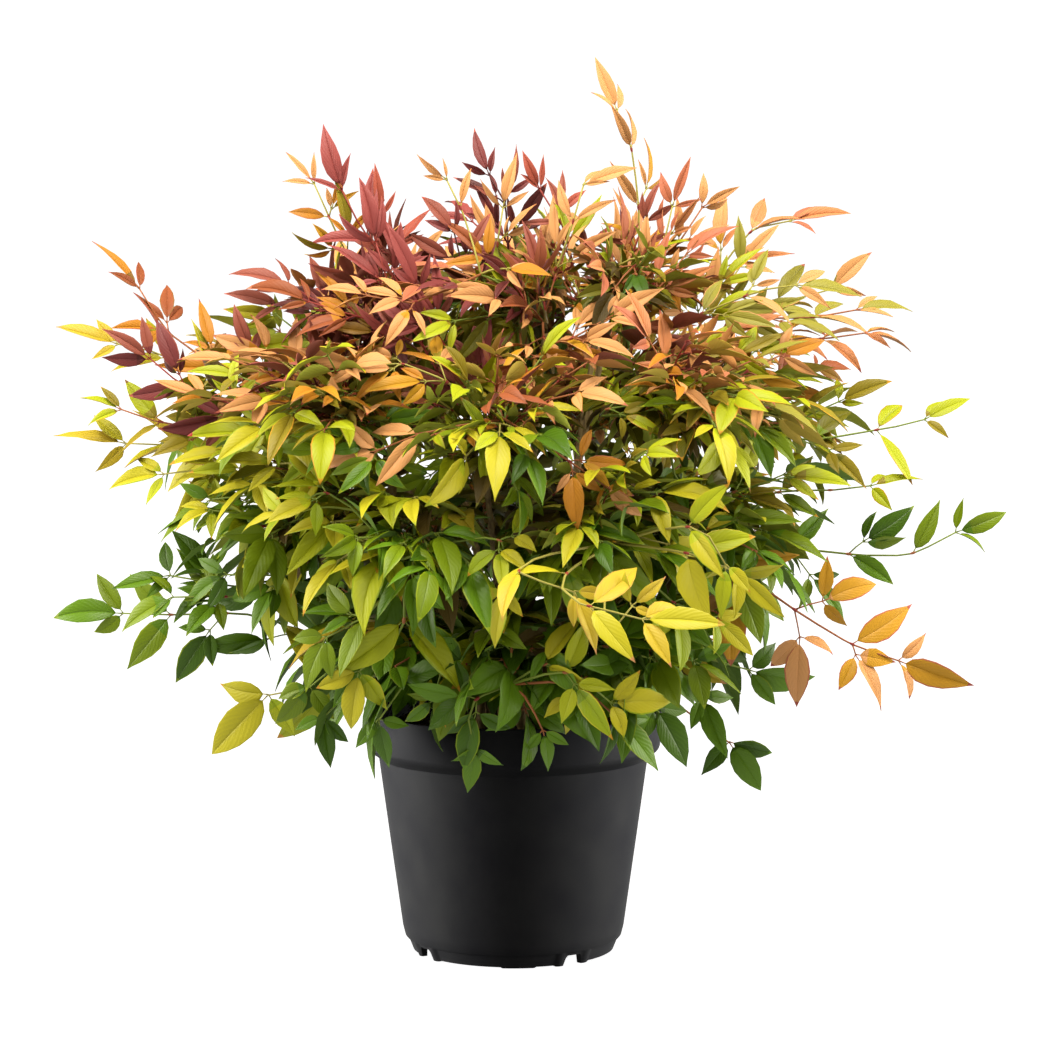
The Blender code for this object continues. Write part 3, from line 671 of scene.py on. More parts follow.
def new_piece(name, points, loops, sizes, slots, materials):
    """An object with a mesh from arrays of points, loops, face sizes and face materials."""
    mesh = bpy.data.meshes.new(name)
    mesh.vertices.add(len(points))
    mesh.vertices.foreach_set("co", np.asarray(points, np.float32).ravel())
    mesh.loops.add(len(loops))
    mesh.loops.foreach_set("vertex_index", np.asarray(loops, np.int32))
    mesh.polygons.add(len(sizes))
    starts = np.concatenate([[0], np.cumsum(sizes)[:-1]])
    mesh.polygons.foreach_set("loop_start", starts.astype(np.int32))
    mesh.polygons.foreach_set("material_index", np.asarray(slots, np.int32))
    for material in materials:
        mesh.materials.append(material)
    mesh.update(calc_edges=True)
    mesh.shade_smooth()
    return new_object(name, mesh)


def place_piece(obj, slot, *nodes):
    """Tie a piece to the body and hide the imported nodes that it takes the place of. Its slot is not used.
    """
    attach(obj, "root")
    if nodes:
        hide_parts(*nodes)


class Tubes:
    """Tapered stalks with closed ends, joined into one mesh."""

    def __init__(self):
        self.points, self.loops, self.sizes, self.slots = [], [], [], []
        self.count = 0

    def add(self, path, radii, sides, shades):
        """shades is a material number, or one for each stretch of the path."""
        path = np.asarray(path, float)
        radii = np.asarray(radii, float)
        n = len(path)
        tangents = np.gradient(path, axis=0)
        tangents /= np.maximum(norm(tangents, axis=1, keepdims=True), 1e-9)
        heading = unit(path[-1] - path[0])
        guide = UP if abs(heading[2]) < 0.8 else np.array([1.0, 0.0, 0.0])
        side = np.cross(tangents, guide)
        side /= np.maximum(norm(side, axis=1, keepdims=True), 1e-9)
        over = np.cross(side, tangents)
        turns = 2 * math.pi * np.arange(sides) / sides
        ring = np.cos(turns)[None, :, None] * side[:, None] + np.sin(turns)[None, :, None] * over[:, None]
        reach = radii[:, None] if radii.ndim == 1 else radii
        points = (path[:, None] + ring * reach[..., None]).reshape(-1, 3)
        a = np.arange(n - 1)[:, None] * sides + np.arange(sides)[None, :]
        b = np.arange(n - 1)[:, None] * sides + (np.arange(sides)[None, :] + 1) % sides
        quads = np.stack([a, a + sides, b + sides, b], axis=-1).reshape(-1)
        first = np.arange(sides)
        last = (n - 1) * sides + np.arange(sides)[::-1]
        slots = np.repeat(np.broadcast_to(shades, (n - 1,)), sides)
        self.points.append(points)
        self.loops.append(np.concatenate([quads, first, last]) + self.count)
        self.sizes.append(np.concatenate([np.full((n - 1) * sides, 4), [sides, sides]]))
        self.slots.append(np.concatenate([slots, [slots[0], slots[-1]]]))
        self.count += len(points)

    def build(self, name, materials):
        return new_piece(
            name, np.concatenate(self.points), np.concatenate(self.loops),
            np.concatenate(self.sizes), np.concatenate(self.slots), materials,
        )


def bezier(controls, count):
    """Points of a cubic curve, evenly apart along it."""
    t = np.linspace(0, 1, CURVE_POINTS)[:, None]
    a, b, c, d = (np.asarray(p, float) for p in controls)
    points = a * (1 - t) ** 3 + b * 3 * t * (1 - t) ** 2 + c * 3 * t * t * (1 - t) + d * t**3
    return along_path(points, np.linspace(0, 1, count))


def along_path(points, shares):
    """Points at these shares of a path's length."""
    steps = norm(np.diff(points, axis=0), axis=1)
    lengths = np.concatenate([[0], np.cumsum(steps)])
    want = np.asarray(shares) * lengths[-1]
    return np.stack([np.interp(want, lengths, points[:, i]) for i in range(3)], axis=-1)


def path_length(points):
    return float(norm(np.diff(points, axis=0), axis=1).sum())


# Pot


def arc(centre, radius, start, end, points):
    """Points of an arc in the pot's section, between two angles in degrees."""
    turns = np.radians(np.linspace(start, end, points))
    return [(centre[0] + radius * math.cos(t), centre[1] + radius * math.sin(t)) for t in turns]


def pot_profile():
    """The pot's section from the middle of its floor, up inside, over the rim and down to its foot."""
    floor = FLOOR_UNDERSIDE + WALL
    lip = arc((RIM_RADIUS - WALL / 2, POT_HEIGHT - WALL / 2), WALL / 2, 180, 0, 9)
    corner_centre = (COLLAR_LOW_RADIUS - COLLAR_ROUNDING, POT_HEIGHT - COLLAR_HEIGHT + COLLAR_ROUNDING)
    corner = arc(corner_centre, COLLAR_ROUNDING, 0, -COLLAR_SLOPE, 9)
    throat_centre = (BODY_TOP[0] + THROAT_SHIFT[0], BODY_TOP[1] + THROAT_SHIFT[1])
    throat = arc(throat_centre, THROAT_ROUNDING, 120, 180, 5)
    inside = [
        (0.0, floor),
        (BODY_END[0] - WALL - FLOOR_ROUNDING, floor),
        (BODY_END[0] - WALL, floor + FLOOR_ROUNDING),
        (BODY_TOP[0] - WALL, BODY_TOP[1] + WALL),
        (COLLAR_LOW_RADIUS - WALL, POT_HEIGHT - COLLAR_HEIGHT + WALL),
    ]
    body_foot = (BODY_END[0] - BODY_END_BEVEL[0], BODY_END[1] - BODY_END_BEVEL[1])
    return inside + lip + corner + throat + [BODY_TOP, BODY_MIDDLE, BODY_LOW, BODY_END, body_foot]


def disc_faces(rings, sides, pole=None):
    """Faces from point 0 over rings of points, and with a pole on to that point, as loops and sizes."""
    low = 1 + (rings - 1) * sides
    loops, sizes = [], []
    for k in range(sides):
        after = (k + 1) % sides
        loops += [0, 1 + k, 1 + after]
        sizes.append(3)
        for a in range(1, low, sides):
            b = a + sides
            loops += [a + k, b + k, b + after, a + after]
            sizes.append(4)
        if pole is not None:
            loops += [low + k, pole, low + after]
            sizes.append(3)
    return loops, sizes, low


def near(azimuth, centre, half):
    """1 within half degrees of a centre, falling to 0 over the next degree."""
    off = abs((azimuth - centre + 180) % 360 - 180)
    return min(max(half + 0.5 - off, 0.0), 1.0)


def foot_ring(azimuth):
    """The foot's bulge and the height of its underside at an azimuth."""
    notch = max(near(azimuth, centre, NOTCH_HALF) for centre in NOTCH_AZIMUTHS)
    bulge = 0.0
    for centre in NOTCH_AZIMUTHS:
        for hand in (-1, 1):
            off = (azimuth - centre - hand * (NOTCH_HALF + LUG_HALF) + 180) % 360 - 180
            bulge = max(bulge, math.cos(min(abs(off) / LUG_HALF, 1.0) * math.pi / 2))
    lift = FOOT_LIFT * (1 - min(bulge * 3, 1.0)) * (1 - near(azimuth, PAD_AZIMUTH, PAD_HALF))
    return LUG_BULGE * bulge * (1 - notch), lift + (NOTCH_HEIGHT - lift) * notch


def make_pot(material):
    """The pot as rings round its axis, from the middle of its floor out and back to the pad below."""
    profile = pot_profile()
    foot_rings = [("out", FOOT_TOP), ("out", 0.0), ("in", 0.0), ("in", FLOOR_UNDERSIDE)]
    azimuths = [360 * k / POT_SIDES for k in range(POT_SIDES)]
    rings = [[(r, z)] * POT_SIDES for r, z in profile[1:]]
    feet = [foot_ring(azimuth) for azimuth in azimuths]
    for side, height in foot_rings:
        ring = []
        for bulge, bottom in feet:
            z = max(height, bottom)
            outer = FOOT_LOW_RADIUS + (FOOT_RADIUS - FOOT_LOW_RADIUS) * z / FOOT_TOP
            radius = outer + bulge if side == "out" else FOOT_LOW_RADIUS - FOOT_WIDTH - bulge
            ring.append((radius, z))
        rings.append(ring)
    pad = [
        (MIDDLE_PAD_RADIUS + MIDDLE_PAD_BEVEL, FLOOR_UNDERSIDE),
        (MIDDLE_PAD_RADIUS, FLOOR_UNDERSIDE - MIDDLE_PAD_FILLET),
        (MIDDLE_PAD_RADIUS, MIDDLE_PAD_BEVEL),
        (MIDDLE_PAD_RADIUS - MIDDLE_PAD_BEVEL, 0.0),
    ]
    rings += [[place] * POT_SIDES for place in pad]
    points = [(0.0, 0.0, profile[0][1])]
    for ring in rings:
        for (radius, height), azimuth in zip(ring, azimuths):
            turn = math.radians(azimuth)
            points.append((radius * math.cos(turn), radius * math.sin(turn), height))
    points.append((0.0, 0.0, 0.0))
    loops, sizes, _ = disc_faces(len(rings), POT_SIDES, len(points) - 1)
    pot = new_piece("nursery_pot", points, loops, sizes, np.zeros(len(sizes)), [material])
    pot.data.set_sharp_from_angle(angle=math.radians(POT_SHARP_FROM))
    place_piece(pot, "pot_plastic", "pot")
    return pot


# Growing medium


def make_medium(material, rng):
    """A crumbly surface with bark chips on it."""
    points = [(0.0, 0.0, MEDIUM_TOP)]
    turns = [2 * math.pi * k / MEDIUM_SIDES for k in range(MEDIUM_SIDES)]
    for i in range(1, MEDIUM_RINGS + 1):
        radius = MEDIUM_RADIUS * (i / MEDIUM_RINGS)
        for turn in turns:
            x, y = radius * math.cos(turn), radius * math.sin(turn)
            lump = LUMP_HEIGHT * noise.noise(Vector((x * LUMP_SCALE, y * LUMP_SCALE, 3.0)))
            crumb = CRUMB_HEIGHT * noise.noise(Vector((x * CRUMB_SCALE, y * CRUMB_SCALE, 7.0)))
            sink = EDGE_SINK * (i / MEDIUM_RINGS) ** 4
            points.append((x, y, MEDIUM_TOP - MEDIUM_SETTLED + lump + crumb - sink))
    radius, height = MEDIUM_FOOT
    points += [(radius * math.cos(turn), radius * math.sin(turn), height) for turn in turns]
    loops, sizes, low = disc_faces(MEDIUM_RINGS + 1, MEDIUM_SIDES)
    loops += [low + k for k in reversed(range(MEDIUM_SIDES))]
    sizes.append(MEDIUM_SIDES)
    corners = np.array([(x, y, z) for x in (-1, 1) for y in (-1, 1) for z in (-1, 1)], float)
    quads = [(0, 1, 3, 2), (4, 6, 7, 5), (0, 4, 5, 1), (2, 3, 7, 6), (0, 2, 6, 4), (1, 5, 7, 3)]
    for _ in range(CHIPS):
        radius = MEDIUM_RADIUS * CHIP_SPREAD * math.sqrt(rng.random())
        turn = rng.random() * 2 * math.pi
        size = np.array([rng.uniform(*limits) for limits in CHIP_SIZES])
        chip = corners * size * rng.uniform(0.7, 1.15, (8, 3))
        axis = unit(rng.normal(size=3) * (0.25, 0.25, 1.0))
        heading = square_to(rng.normal(size=3), axis)
        turned_chip = chip @ np.stack([heading, np.cross(axis, heading), axis])
        place = np.array([radius * math.cos(turn), radius * math.sin(turn), MEDIUM_TOP + CHIP_LIFT])
        first = len(points)
        points += [tuple(p) for p in turned_chip + place]
        for quad in quads:
            loops += [first + k for k in quad]
            sizes.append(4)
    medium = new_piece("potting_mix", points, loops, sizes, np.zeros(len(sizes)), [material])
    medium.data.set_sharp_from_angle(angle=math.radians(CHIP_SHARP_FROM))
    place_piece(medium, "growing_medium", "growing_medium")


# Canes and boughs


def limb_line(node):
    """The middle line and the radii of a packed cane or bough, from its foot to its end."""
    mesh = frame["nodes"][node].data
    points = np.unique(np.round([tuple(v.co) for v in mesh.vertices], 6), axis=0)
    chord = unit(points[points[:, 2].argmax()] - points[points[:, 2].argmin()])
    points = points[np.argsort(points @ chord)].reshape(LIMB_RINGS, LIMB_SIDES, 3)
    middles = points.mean(axis=1)
    return middles, norm(points - middles[:, None], axis=2).mean(axis=1)


def smooth_line(points, count):
    """A smooth curve through points, by cubic Hermite pieces."""
    headings = np.gradient(points, axis=0)
    headings /= norm(headings, axis=1, keepdims=True)
    spans = norm(np.diff(points, axis=0), axis=1)
    found = []
    for i, span in enumerate(spans):
        for t in np.linspace(0, 1, 12, endpoint=False):
            place = (2 * t**3 - 3 * t**2 + 1) * points[i] + (3 * t**2 - 2 * t**3) * points[i + 1]
            slope = (t**3 - 2 * t**2 + t) * headings[i] + (t**3 - t**2) * headings[i + 1]
            found.append(place + span * slope)
    found.append(points[-1])
    return along_path(np.array(found), np.linspace(0, 1, count))


def bark_tube(tubes, line, radii, seed, shade):
    """A limb with ridged bark and the rings that old leaf bases leave."""
    length = path_length(line)
    count = max(int(length / BARK_STEP), 12)
    path = smooth_line(line, count)
    shares = np.linspace(0, 1, count)
    smooth = np.interp(shares, np.linspace(0, 1, len(radii)), radii)
    turns = 2 * math.pi * np.arange(BARK_SIDES) / BARK_SIDES
    relief = np.zeros((count, BARK_SIDES))
    for i, share in enumerate(shares):
        s = share * length
        phase = (s + NODE_SHIFT * math.sin(seed)) / NODE_SPACING
        past = (phase - math.floor(phase)) * NODE_SPACING
        ring = RING_HEIGHT * math.exp(-((past - RING_PLACE) / RING_WIDTH) ** 2)
        ring += SWELLING_HEIGHT * math.exp(-past / SWELLING_LENGTH)
        for k, turn in enumerate(turns):
            rough = 1.0
            for height, around, along in (RIDGE, CRUMB):
                x, y = math.cos(turn) * around + seed, math.sin(turn) * around
                rough += height * noise.noise(Vector((x, y, s * along)))
            relief[i, k] = rough + ring
    tubes.add(path, smooth[:, None] * relief * BARK_SWELL, BARK_SIDES, shade)


def make_limbs(material):
    """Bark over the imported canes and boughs. Returns their lines."""
    lines = {}
    for kind, name in (("cane", "cane_stems"), ("bough", "bough_stems")):
        tubes = Tubes()
        nodes = sorted(n for n in frame["nodes"] if n.startswith(kind))
        for number, node in enumerate(nodes):
            line, radii = limb_line(node)
            bark_tube(tubes, line, radii, 3.7 * number + len(kind), 0)
            lines[node] = smooth_line(line, LINE_POINTS)
        piece = tubes.build(name, [material])
        place_piece(piece, "cane_bark", *nodes)
    return lines


# Masses, twigs and fronds


class Mass:
    """A packed mass of foliage: where it is, and the twig that grows in it."""

    def __init__(self, node):
        mesh = frame["nodes"][node].data
        self.node = node
        self.slot = SLOT_OF[node]
        self.points = np.array([tuple(v.co) for v in mesh.vertices])
        self.faces = [tuple(p.vertices) for p in mesh.polygons]
        corners = self.points[np.array(self.faces)]
        areas = norm(np.cross(corners[:, 1] - corners[:, 0], corners[:, 2] - corners[:, 0]), axis=1)
        self.middle = (corners.mean(axis=1) * areas[:, None]).sum(axis=0) / areas.sum()
        self.twig = None


def joined_tree(masses):
    """One tree of the faces of all these masses, for rays."""
    points, faces, count = [], [], 0
    for mass in masses:
        points += [Vector(p) for p in mass.points]
        faces += [tuple(k + count for k in face) for face in mass.faces]
        count += len(mass.points)
    return BVHTree.FromPolygons(points, faces)


def shell_tips(solid, shell, rng):
    """Places spread over one shell of the crown, closer together near its top."""
    thinned = TOP_THINNED if shell.edged else 0.0
    found = np.empty((0, 3))
    for direction in rng.normal(size=(SHELL_TRIES, 3)):
        direction = unit(direction)
        hit = solid.ray_cast(Vector(CORE + direction), Vector(-direction))[0]
        if hit is None:
            continue
        steep = min(max((direction[2] - STEEP_FROM) / STEEP_OVER, 0.0), 1.0)
        tip = CORE + (np.array(hit) - CORE) * shell.share * (1 - thinned * steep)
        if tip[2] < LOWEST_TIP or meets_pot(tip, tip):
            continue
        apart = shell.apart * (1.08 - 0.22 * height_share(tip[2]))
        if len(found) and np.min(norm(found - tip, axis=1)) < apart:
            continue
        found = np.vstack([found, tip])
    return found


def pick_limb(lines, heart):
    """The place on the canes and boughs that a mass's twig grows from, and the limb's heading there."""
    best = None
    for line in lines.values():
        for i in range(4, len(line)):
            rise = max(line[i][2] - heart[2] + FORK_RISE, 0.0)
            cost = float(norm(line[i] - heart)) + RISE_COST * rise
            if best is None or cost < best[0]:
                best = (cost, line[i], unit(line[i] - line[i - 1]))
    return best[1], best[2]


def grow_twigs(masses, lines, tubes, shade):
    """A twig for each mass, from the nearest limb into the mass."""
    for mass in masses:
        heart = mass.middle + HEART_INWARD * (CORE - mass.middle)
        fork, heading = pick_limb(lines, heart)
        span = float(norm(heart - fork))
        outward = unit(mass.middle - CORE)
        pulls = [fork + heading * span * 0.4, heart - outward * span * 0.3]
        mass.twig = bezier([fork, *pulls, heart + outward * TWIG_PAST_HEART], TWIG_POINTS)
        radii = np.linspace(TWIG_THICK, TWIG_THIN, TWIG_POINTS)
        radii[::3] *= TWIG_NODE_SWELL
        tubes.add(mass.twig, radii, 8, shade)


def deal_family(point, rng):
    """A spray's family, by where in the crown its tip is."""
    names = list(FAMILIES)
    weights = []
    for name in names:
        f = FAMILIES[name]
        off = ((point[0] - f.x) / f.wide) ** 2 + ((point[2] - f.z) / f.high) ** 2
        weights.append(f.weight * math.exp(-off))
    weights = np.array(weights)
    return names[rng.choice(len(names), p=weights / weights.sum())]


SHADE_NUMBER = {name: k for k, name in enumerate(SHADES)}


def wall_radius(height):
    """The middle of the pot's wall at a height."""
    share = min(max(height / POT_HEIGHT, 0.0), 1.0)
    if height < CLEAR_COLLAR_FROM:
        return CLEAR_FOOT_RADIUS + share * (RIM_RADIUS - CLEAR_FOOT_RADIUS)
    return RIM_RADIUS - WALL


def leaf_arrays(rows, shades, columns):
    """Points, loops, face sizes, materials, crease marks and coordinates of closed thin leaflets."""
    n, stations, ring = len(rows), len(STATIONS), len(columns) + 1
    origin, heading, normal = rows[:, 0:3], rows[:, 3:6], rows[:, 6:9]
    length, width, bend, fold, twist, veer, wave, phase, belly, point = rows[:, 9:].T
    side = np.cross(normal, heading)
    steps = length[:, None] * np.diff(STATIONS)
    middle = (STATIONS[1:] + STATIONS[:-1]) / 2
    dip = -bend[:, None] * middle**BEND_POWER
    swing = veer[:, None] * (middle - VEER_FROM)
    moves = np.cos(dip) * np.cos(swing), np.sin(dip), np.cos(dip) * np.sin(swing)
    zero = np.zeros((n, 1))
    ahead, above, beside = (np.concatenate([zero, np.cumsum(steps * m, axis=1)], axis=1) for m in moves)
    dip = -bend[:, None] * STATIONS**BEND_POWER
    spin = twist[:, None] * STATIONS
    t = STATIONS[None, :]
    peak = belly / (belly + point)
    shape = t ** belly[:, None] * (1 - t) ** point[:, None]
    shape /= (peak**belly * (1 - peak) ** point)[:, None]
    least = BASE_HALF_WIDTH + (TIP_HALF_WIDTH - BASE_HALF_WIDTH) * t
    half = np.maximum(width[:, None] / 2 * shape, least)
    axis = origin[:, None] + ahead[..., None] * heading[:, None] + beside[..., None] * side[:, None]
    axis = axis + above[..., None] * normal[:, None]
    over = -np.sin(dip)[..., None] * heading[:, None] + np.cos(dip)[..., None] * normal[:, None]
    cos, sin = np.cos(spin)[..., None], np.sin(spin)[..., None]
    over_turned = cos * over - sin * side[:, None]
    side_turned = cos * side[:, None] + sin * over
    rise, run = np.sin(fold)[:, None] * half, np.cos(fold)[:, None] * half
    ripple = (wave * length)[:, None] * np.sin(2 * math.pi * LEAF_WAVES_ALONG * t + phase[:, None]) * shape
    points = np.empty((n, stations, ring, 3))
    for k, u in enumerate(columns):
        turned_down = MARGIN_LIFT if abs(u) == 1.0 and len(columns) > 3 else abs(u)
        lift = turned_down * rise + ripple * u
        points[:, :, k] = axis + (u * run)[..., None] * side_turned + lift[..., None] * over_turned
    points[:, :, -1] = axis - LEAF_THICK * over_turned
    last, low = len(columns) - 1, len(columns)
    strips = [(k, k + ring, k + 1 + ring, k + 1) for k in range(last)]
    strips += [(0, low, low + ring, ring), (low, last, last + ring, low + ring)]
    quads = ((np.arange(stations - 1)[:, None] * ring)[:, :, None] + np.array(strips)[None]).reshape(-1)
    ends = np.concatenate([np.arange(ring), (stations - 1) * ring + np.arange(ring)[::-1]])
    one = np.concatenate([quads, ends])
    loops = (one[None] + (np.arange(n) * stations * ring)[:, None]).reshape(-1)
    sizes = np.tile(np.concatenate([np.full(len(quads) // 4, 4), [ring, ring]]), n)
    base, blade, tip, margin, under, first, final = shades.T
    segment = np.repeat(np.arange(stations - 1), len(strips))[None]
    strip = np.tile(np.arange(len(strips)), stations - 1)[None]
    slots = np.where(segment < first[:, None], base[:, None], blade[:, None])
    slots = np.where(segment >= final[:, None], tip[:, None], slots)
    edge = (len(columns) > 3) & ((strip == 0) | (strip == last - 1)) & (segment < final[:, None])
    slots = np.where(edge, margin[:, None], slots)
    slots = np.where(strip >= last, under[:, None], slots)
    slots = np.concatenate([slots, base[:, None], tip[:, None]], axis=1).reshape(-1)
    marks = np.zeros(ring, int)
    marks[[0, last // 2, last]] = (1, 2, 3)
    across = np.append((columns + 1) / 2, 0.5)
    uv = np.stack([np.tile(across, stations), np.repeat(STATIONS, ring)], axis=1)[one]
    return points.reshape(-1, 3), loops, sizes, slots, np.tile(marks, n * stations), np.tile(uv, (n, 1))


class Foliage:
    """The leaflets of one piece, by their measures, until they are made into a mesh."""

    def __init__(self):
        self.rows = {True: [], False: []}
        self.shades = {True: [], False: []}
        self.nodes = set()

    def add(self, edged, measures, shades):
        self.rows[edged].append(measures)
        self.shades[edged].append(shades)

    def build(self, name, materials):
        parts, count = [], 0
        for edged, columns in ((True, EDGED), (False, PLAIN)):
            if self.rows[edged]:
                part = leaf_arrays(np.array(self.rows[edged]), np.array(self.shades[edged]), columns)
                part[1][:] += count
                count += len(part[0])
                parts.append(part)
        points, loops, sizes, slots, marks, uv = (np.concatenate(kind) for kind in zip(*parts))
        used, slots = np.unique(slots, return_inverse=True)
        obj = new_piece(name, points, loops, sizes, slots.ravel(), [materials[k] for k in used])
        mesh = obj.data
        ends = np.empty(len(mesh.edges) * 2, np.int32)
        mesh.edges.foreach_get("vertices", ends)
        ends = marks[ends.reshape(-1, 2)]
        crease = mesh.attributes.new("sharp_edge", "BOOLEAN", "EDGE")
        crease.data.foreach_set("value", (ends[:, 0] == ends[:, 1]) & (ends[:, 0] > 0))
        layer = mesh.uv_layers.new(name="leaf")
        layer.data.foreach_set("uv", uv.astype(np.float32).ravel())
        return obj


class Frond:
    """A compound leaf: a rachis, pinnae on opposite sides of its joints, and leaflets in threes."""

    def __init__(self, foliage, stalks, family, size, high, rng, edged=True, joints=4):
        self.foliage = foliage
        self.stalks = stalks
        self.family = FAMILIES[family]
        self.size = size
        self.high = high
        self.droop = LEAF_DROOP - DROOP_LOST * high
        self.rng = rng
        self.edged = edged
        self.joints = joints
        stalk = rng.choice(self.family.stalks)
        self.stalk = SHADE_NUMBER[stalk]
        self.joint = SHADE_NUMBER["stem_wine" if stalk == "stem_wine" else "stem_red"]
        if stalk == "stem_green" and rng.random() < RUST_CHANCE:
            self.joint = SHADE_NUMBER["stem_rust"]

    def pick(self, names):
        return SHADE_NUMBER[names[self.rng.integers(len(names))]]

    def blade(self, youth):
        """A leaflet's shade and the next older one. The youngest take the family's last colours."""
        names = self.family.blades
        place = int(round(youth * (len(names) - 1) + self.rng.normal(0, BLADE_STRAY)))
        place = min(max(place, 0), len(names) - 1)
        return SHADE_NUMBER[names[place]], SHADE_NUMBER[names[max(place - 1, 0)]]

    def leaflet(self, origin, heading, normal, length, youth, broad=1.0):
        rng = self.rng
        fall = UP * (-self.droop * rng.uniform(*DROOPS))
        heading = unit(heading + fall + rng.normal(0, LEAF_HEADING_STRAY, 3))
        normal = square_to(normal + rng.normal(0, LEAF_FACING_STRAY, 3), heading)
        normal = turned(normal, heading, rng.normal(0, LEAF_ROLL))
        length *= rng.uniform(*STRAY)
        if meets_pot(origin, origin + heading * length):
            return
        start = origin + heading * (PETIOLE_LENGTH + 0.05 * length)
        self.stalks.add([origin, start + normal * PETIOLE_RISE], PETIOLE_RADII, 4, self.stalk)
        width = length * (rng.uniform(*LEAF_WIDTHS) - 0.18 * self.high) * broad
        blade, older = self.blade(youth)
        older = blade if rng.random() < PLAIN_CHANCE else older
        tip = self.pick(self.family.tips) if rng.random() < TIP_CHANCE else blade
        margin = self.pick(self.family.margins) if rng.random() < MARGIN_CHANCE else blade
        tones = tip, margin, self.pick(self.family.unders)
        first, final = rng.integers(1, 3), len(STATIONS) - 2
        bend = rng.uniform(*LEAF_BENDS) + 0.3 * self.droop
        fold = rng.uniform(*LEAF_FOLDS) + 0.22 * self.high
        twist, veer = rng.normal(0, LEAF_TWIST), rng.normal(0, LEAF_VEER)
        wave, phase = rng.uniform(*LEAF_WAVES), rng.uniform(0, 2 * math.pi)
        belly, point = rng.uniform(*LEAF_BELLIES), rng.uniform(*LEAF_POINTS)
        form = (length, width, bend, fold, twist, veer, wave, phase, belly, point)
        self.foliage.add(
            self.edged, (*start, *heading, *normal, *form), (older, blade, *tones, first, final)
        )

    def trio(self, origin, heading, normal, length, youth, share):
        """A larger leaflet with two smaller ones beside its foot."""
        self.leaflet(origin, heading, normal, length, youth)
        for hand in (-1, 1):
            angle = hand * self.rng.uniform(*SIDE_ANGLES) * (1.05 - 0.35 * self.high)
            beside = turned(heading, normal, angle)
            small = length * share * self.rng.uniform(*STRAY)
            self.leaflet(origin - heading * TRIO_SETBACK, beside, normal, small, youth, SIDE_BROADER)

    def pinna(self, node, heading, normal, rank, youth, leaflets=None):
        """The side branch of a joint, with one, three or five leaflets."""
        rng, size = self.rng, self.size
        if leaflets == 0:
            return
        if leaflets == 1 or (leaflets is None and rank == 1 and rng.random() < LONE_CHANCE):
            self.leaflet(node, heading, normal, LONE_LEAFLET * size, youth)
            return
        kind = min(rank, len(PINNA_REACHES)) - 1
        reach = size * PINNA_REACHES[kind] * rng.uniform(0.8, 1.25)
        heading = unit(heading + UP * (-0.3 * self.droop))
        end = node + heading * reach
        length = size * PINNA_LEAFLETS[kind]
        line = [node, (node + end) / 2 + UP * PINNA_ARCH, end]
        self.stalks.add(line, PINNA_RADII, 5, self.stalk)
        if leaflets is None and rank >= 3 and rng.random() < FIVE_CHANCE:
            middle = node + heading * reach * 0.55
            for hand in (-1, 1):
                beside = turned(heading, normal, hand * rng.uniform(0.9, 1.25))
                self.leaflet(middle, beside, normal, length * 0.6, youth)
        self.trio(end, heading, normal, length, youth, rng.uniform(*SIDE_SHARES))

    def grow(self, base, start, tip, facing, arch):
        """The whole frond, from its base on a twig to the tip of its last leaflet."""
        rng, size = self.rng, self.size
        gap = tip - base
        span = float(norm(gap))
        ahead = gap / span
        last = min(END_LEAFLET * size * rng.uniform(0.85, 1.1), 0.6 * span)
        level = square_to(UP, ahead) if abs(ahead[2]) < 0.97 else facing
        end_heading = unit(ahead - arch * level * 0.8)
        end = tip - end_heading * last * 1.06
        reach = float(norm(end - base))
        first_heading = unit(ahead + arch * level + 0.35 * start)
        controls = [base, base + first_heading * reach * 0.38, end - end_heading * reach * 0.34, end]
        fine = bezier(controls, FINE)
        self.unfold(fine, self.spaced(path_length(fine), self.joints), facing)
        heading = unit(fine[-1] - fine[-2])
        normal = square_to(facing + rng.normal(0, FACING_STRAY, 3), heading)
        self.trio(end, heading, normal, last, 1.0, rng.uniform(*END_SIDE_SHARES))

    def follow(self, base, start, tip, bow, facing, pinnae):
        """A frond along a given line, with a given number of leaflets on each side branch."""
        self.droop = 0.0
        gap = tip - start
        span = float(norm(gap))
        middle = (start + tip) / 2 + np.cross(FRONT, gap) * bow
        last = min(SPRIG_END_LEAFLET * self.size, 0.55 * span)
        heading = unit(tip - middle)
        end = tip - heading * last
        waypoints = [base, start, middle, end] if span > 3 * last else [base, start, end]
        fine = smooth_line(np.array(waypoints), FINE)
        counts = [tuple(int(c) for c in pair) for pair in pinnae.split()]
        self.unfold(fine, self.spaced(path_length(fine), len(counts)), facing, counts)
        self.trio(end, heading, square_to(facing, heading), last / 1.06, 1.0, SPRIG_SIDE_SHARE)

    def spaced(self, length, count):
        """The joints of a rachis of this length, from its end inwards."""
        joints = [length]
        for step in JOINT_STEPS[:count]:
            place = joints[-1] - step * self.size * self.rng.uniform(*STRAY)
            if place < max(0.15 * length, FIRST_JOINT):
                break
            joints.append(place)
        return joints

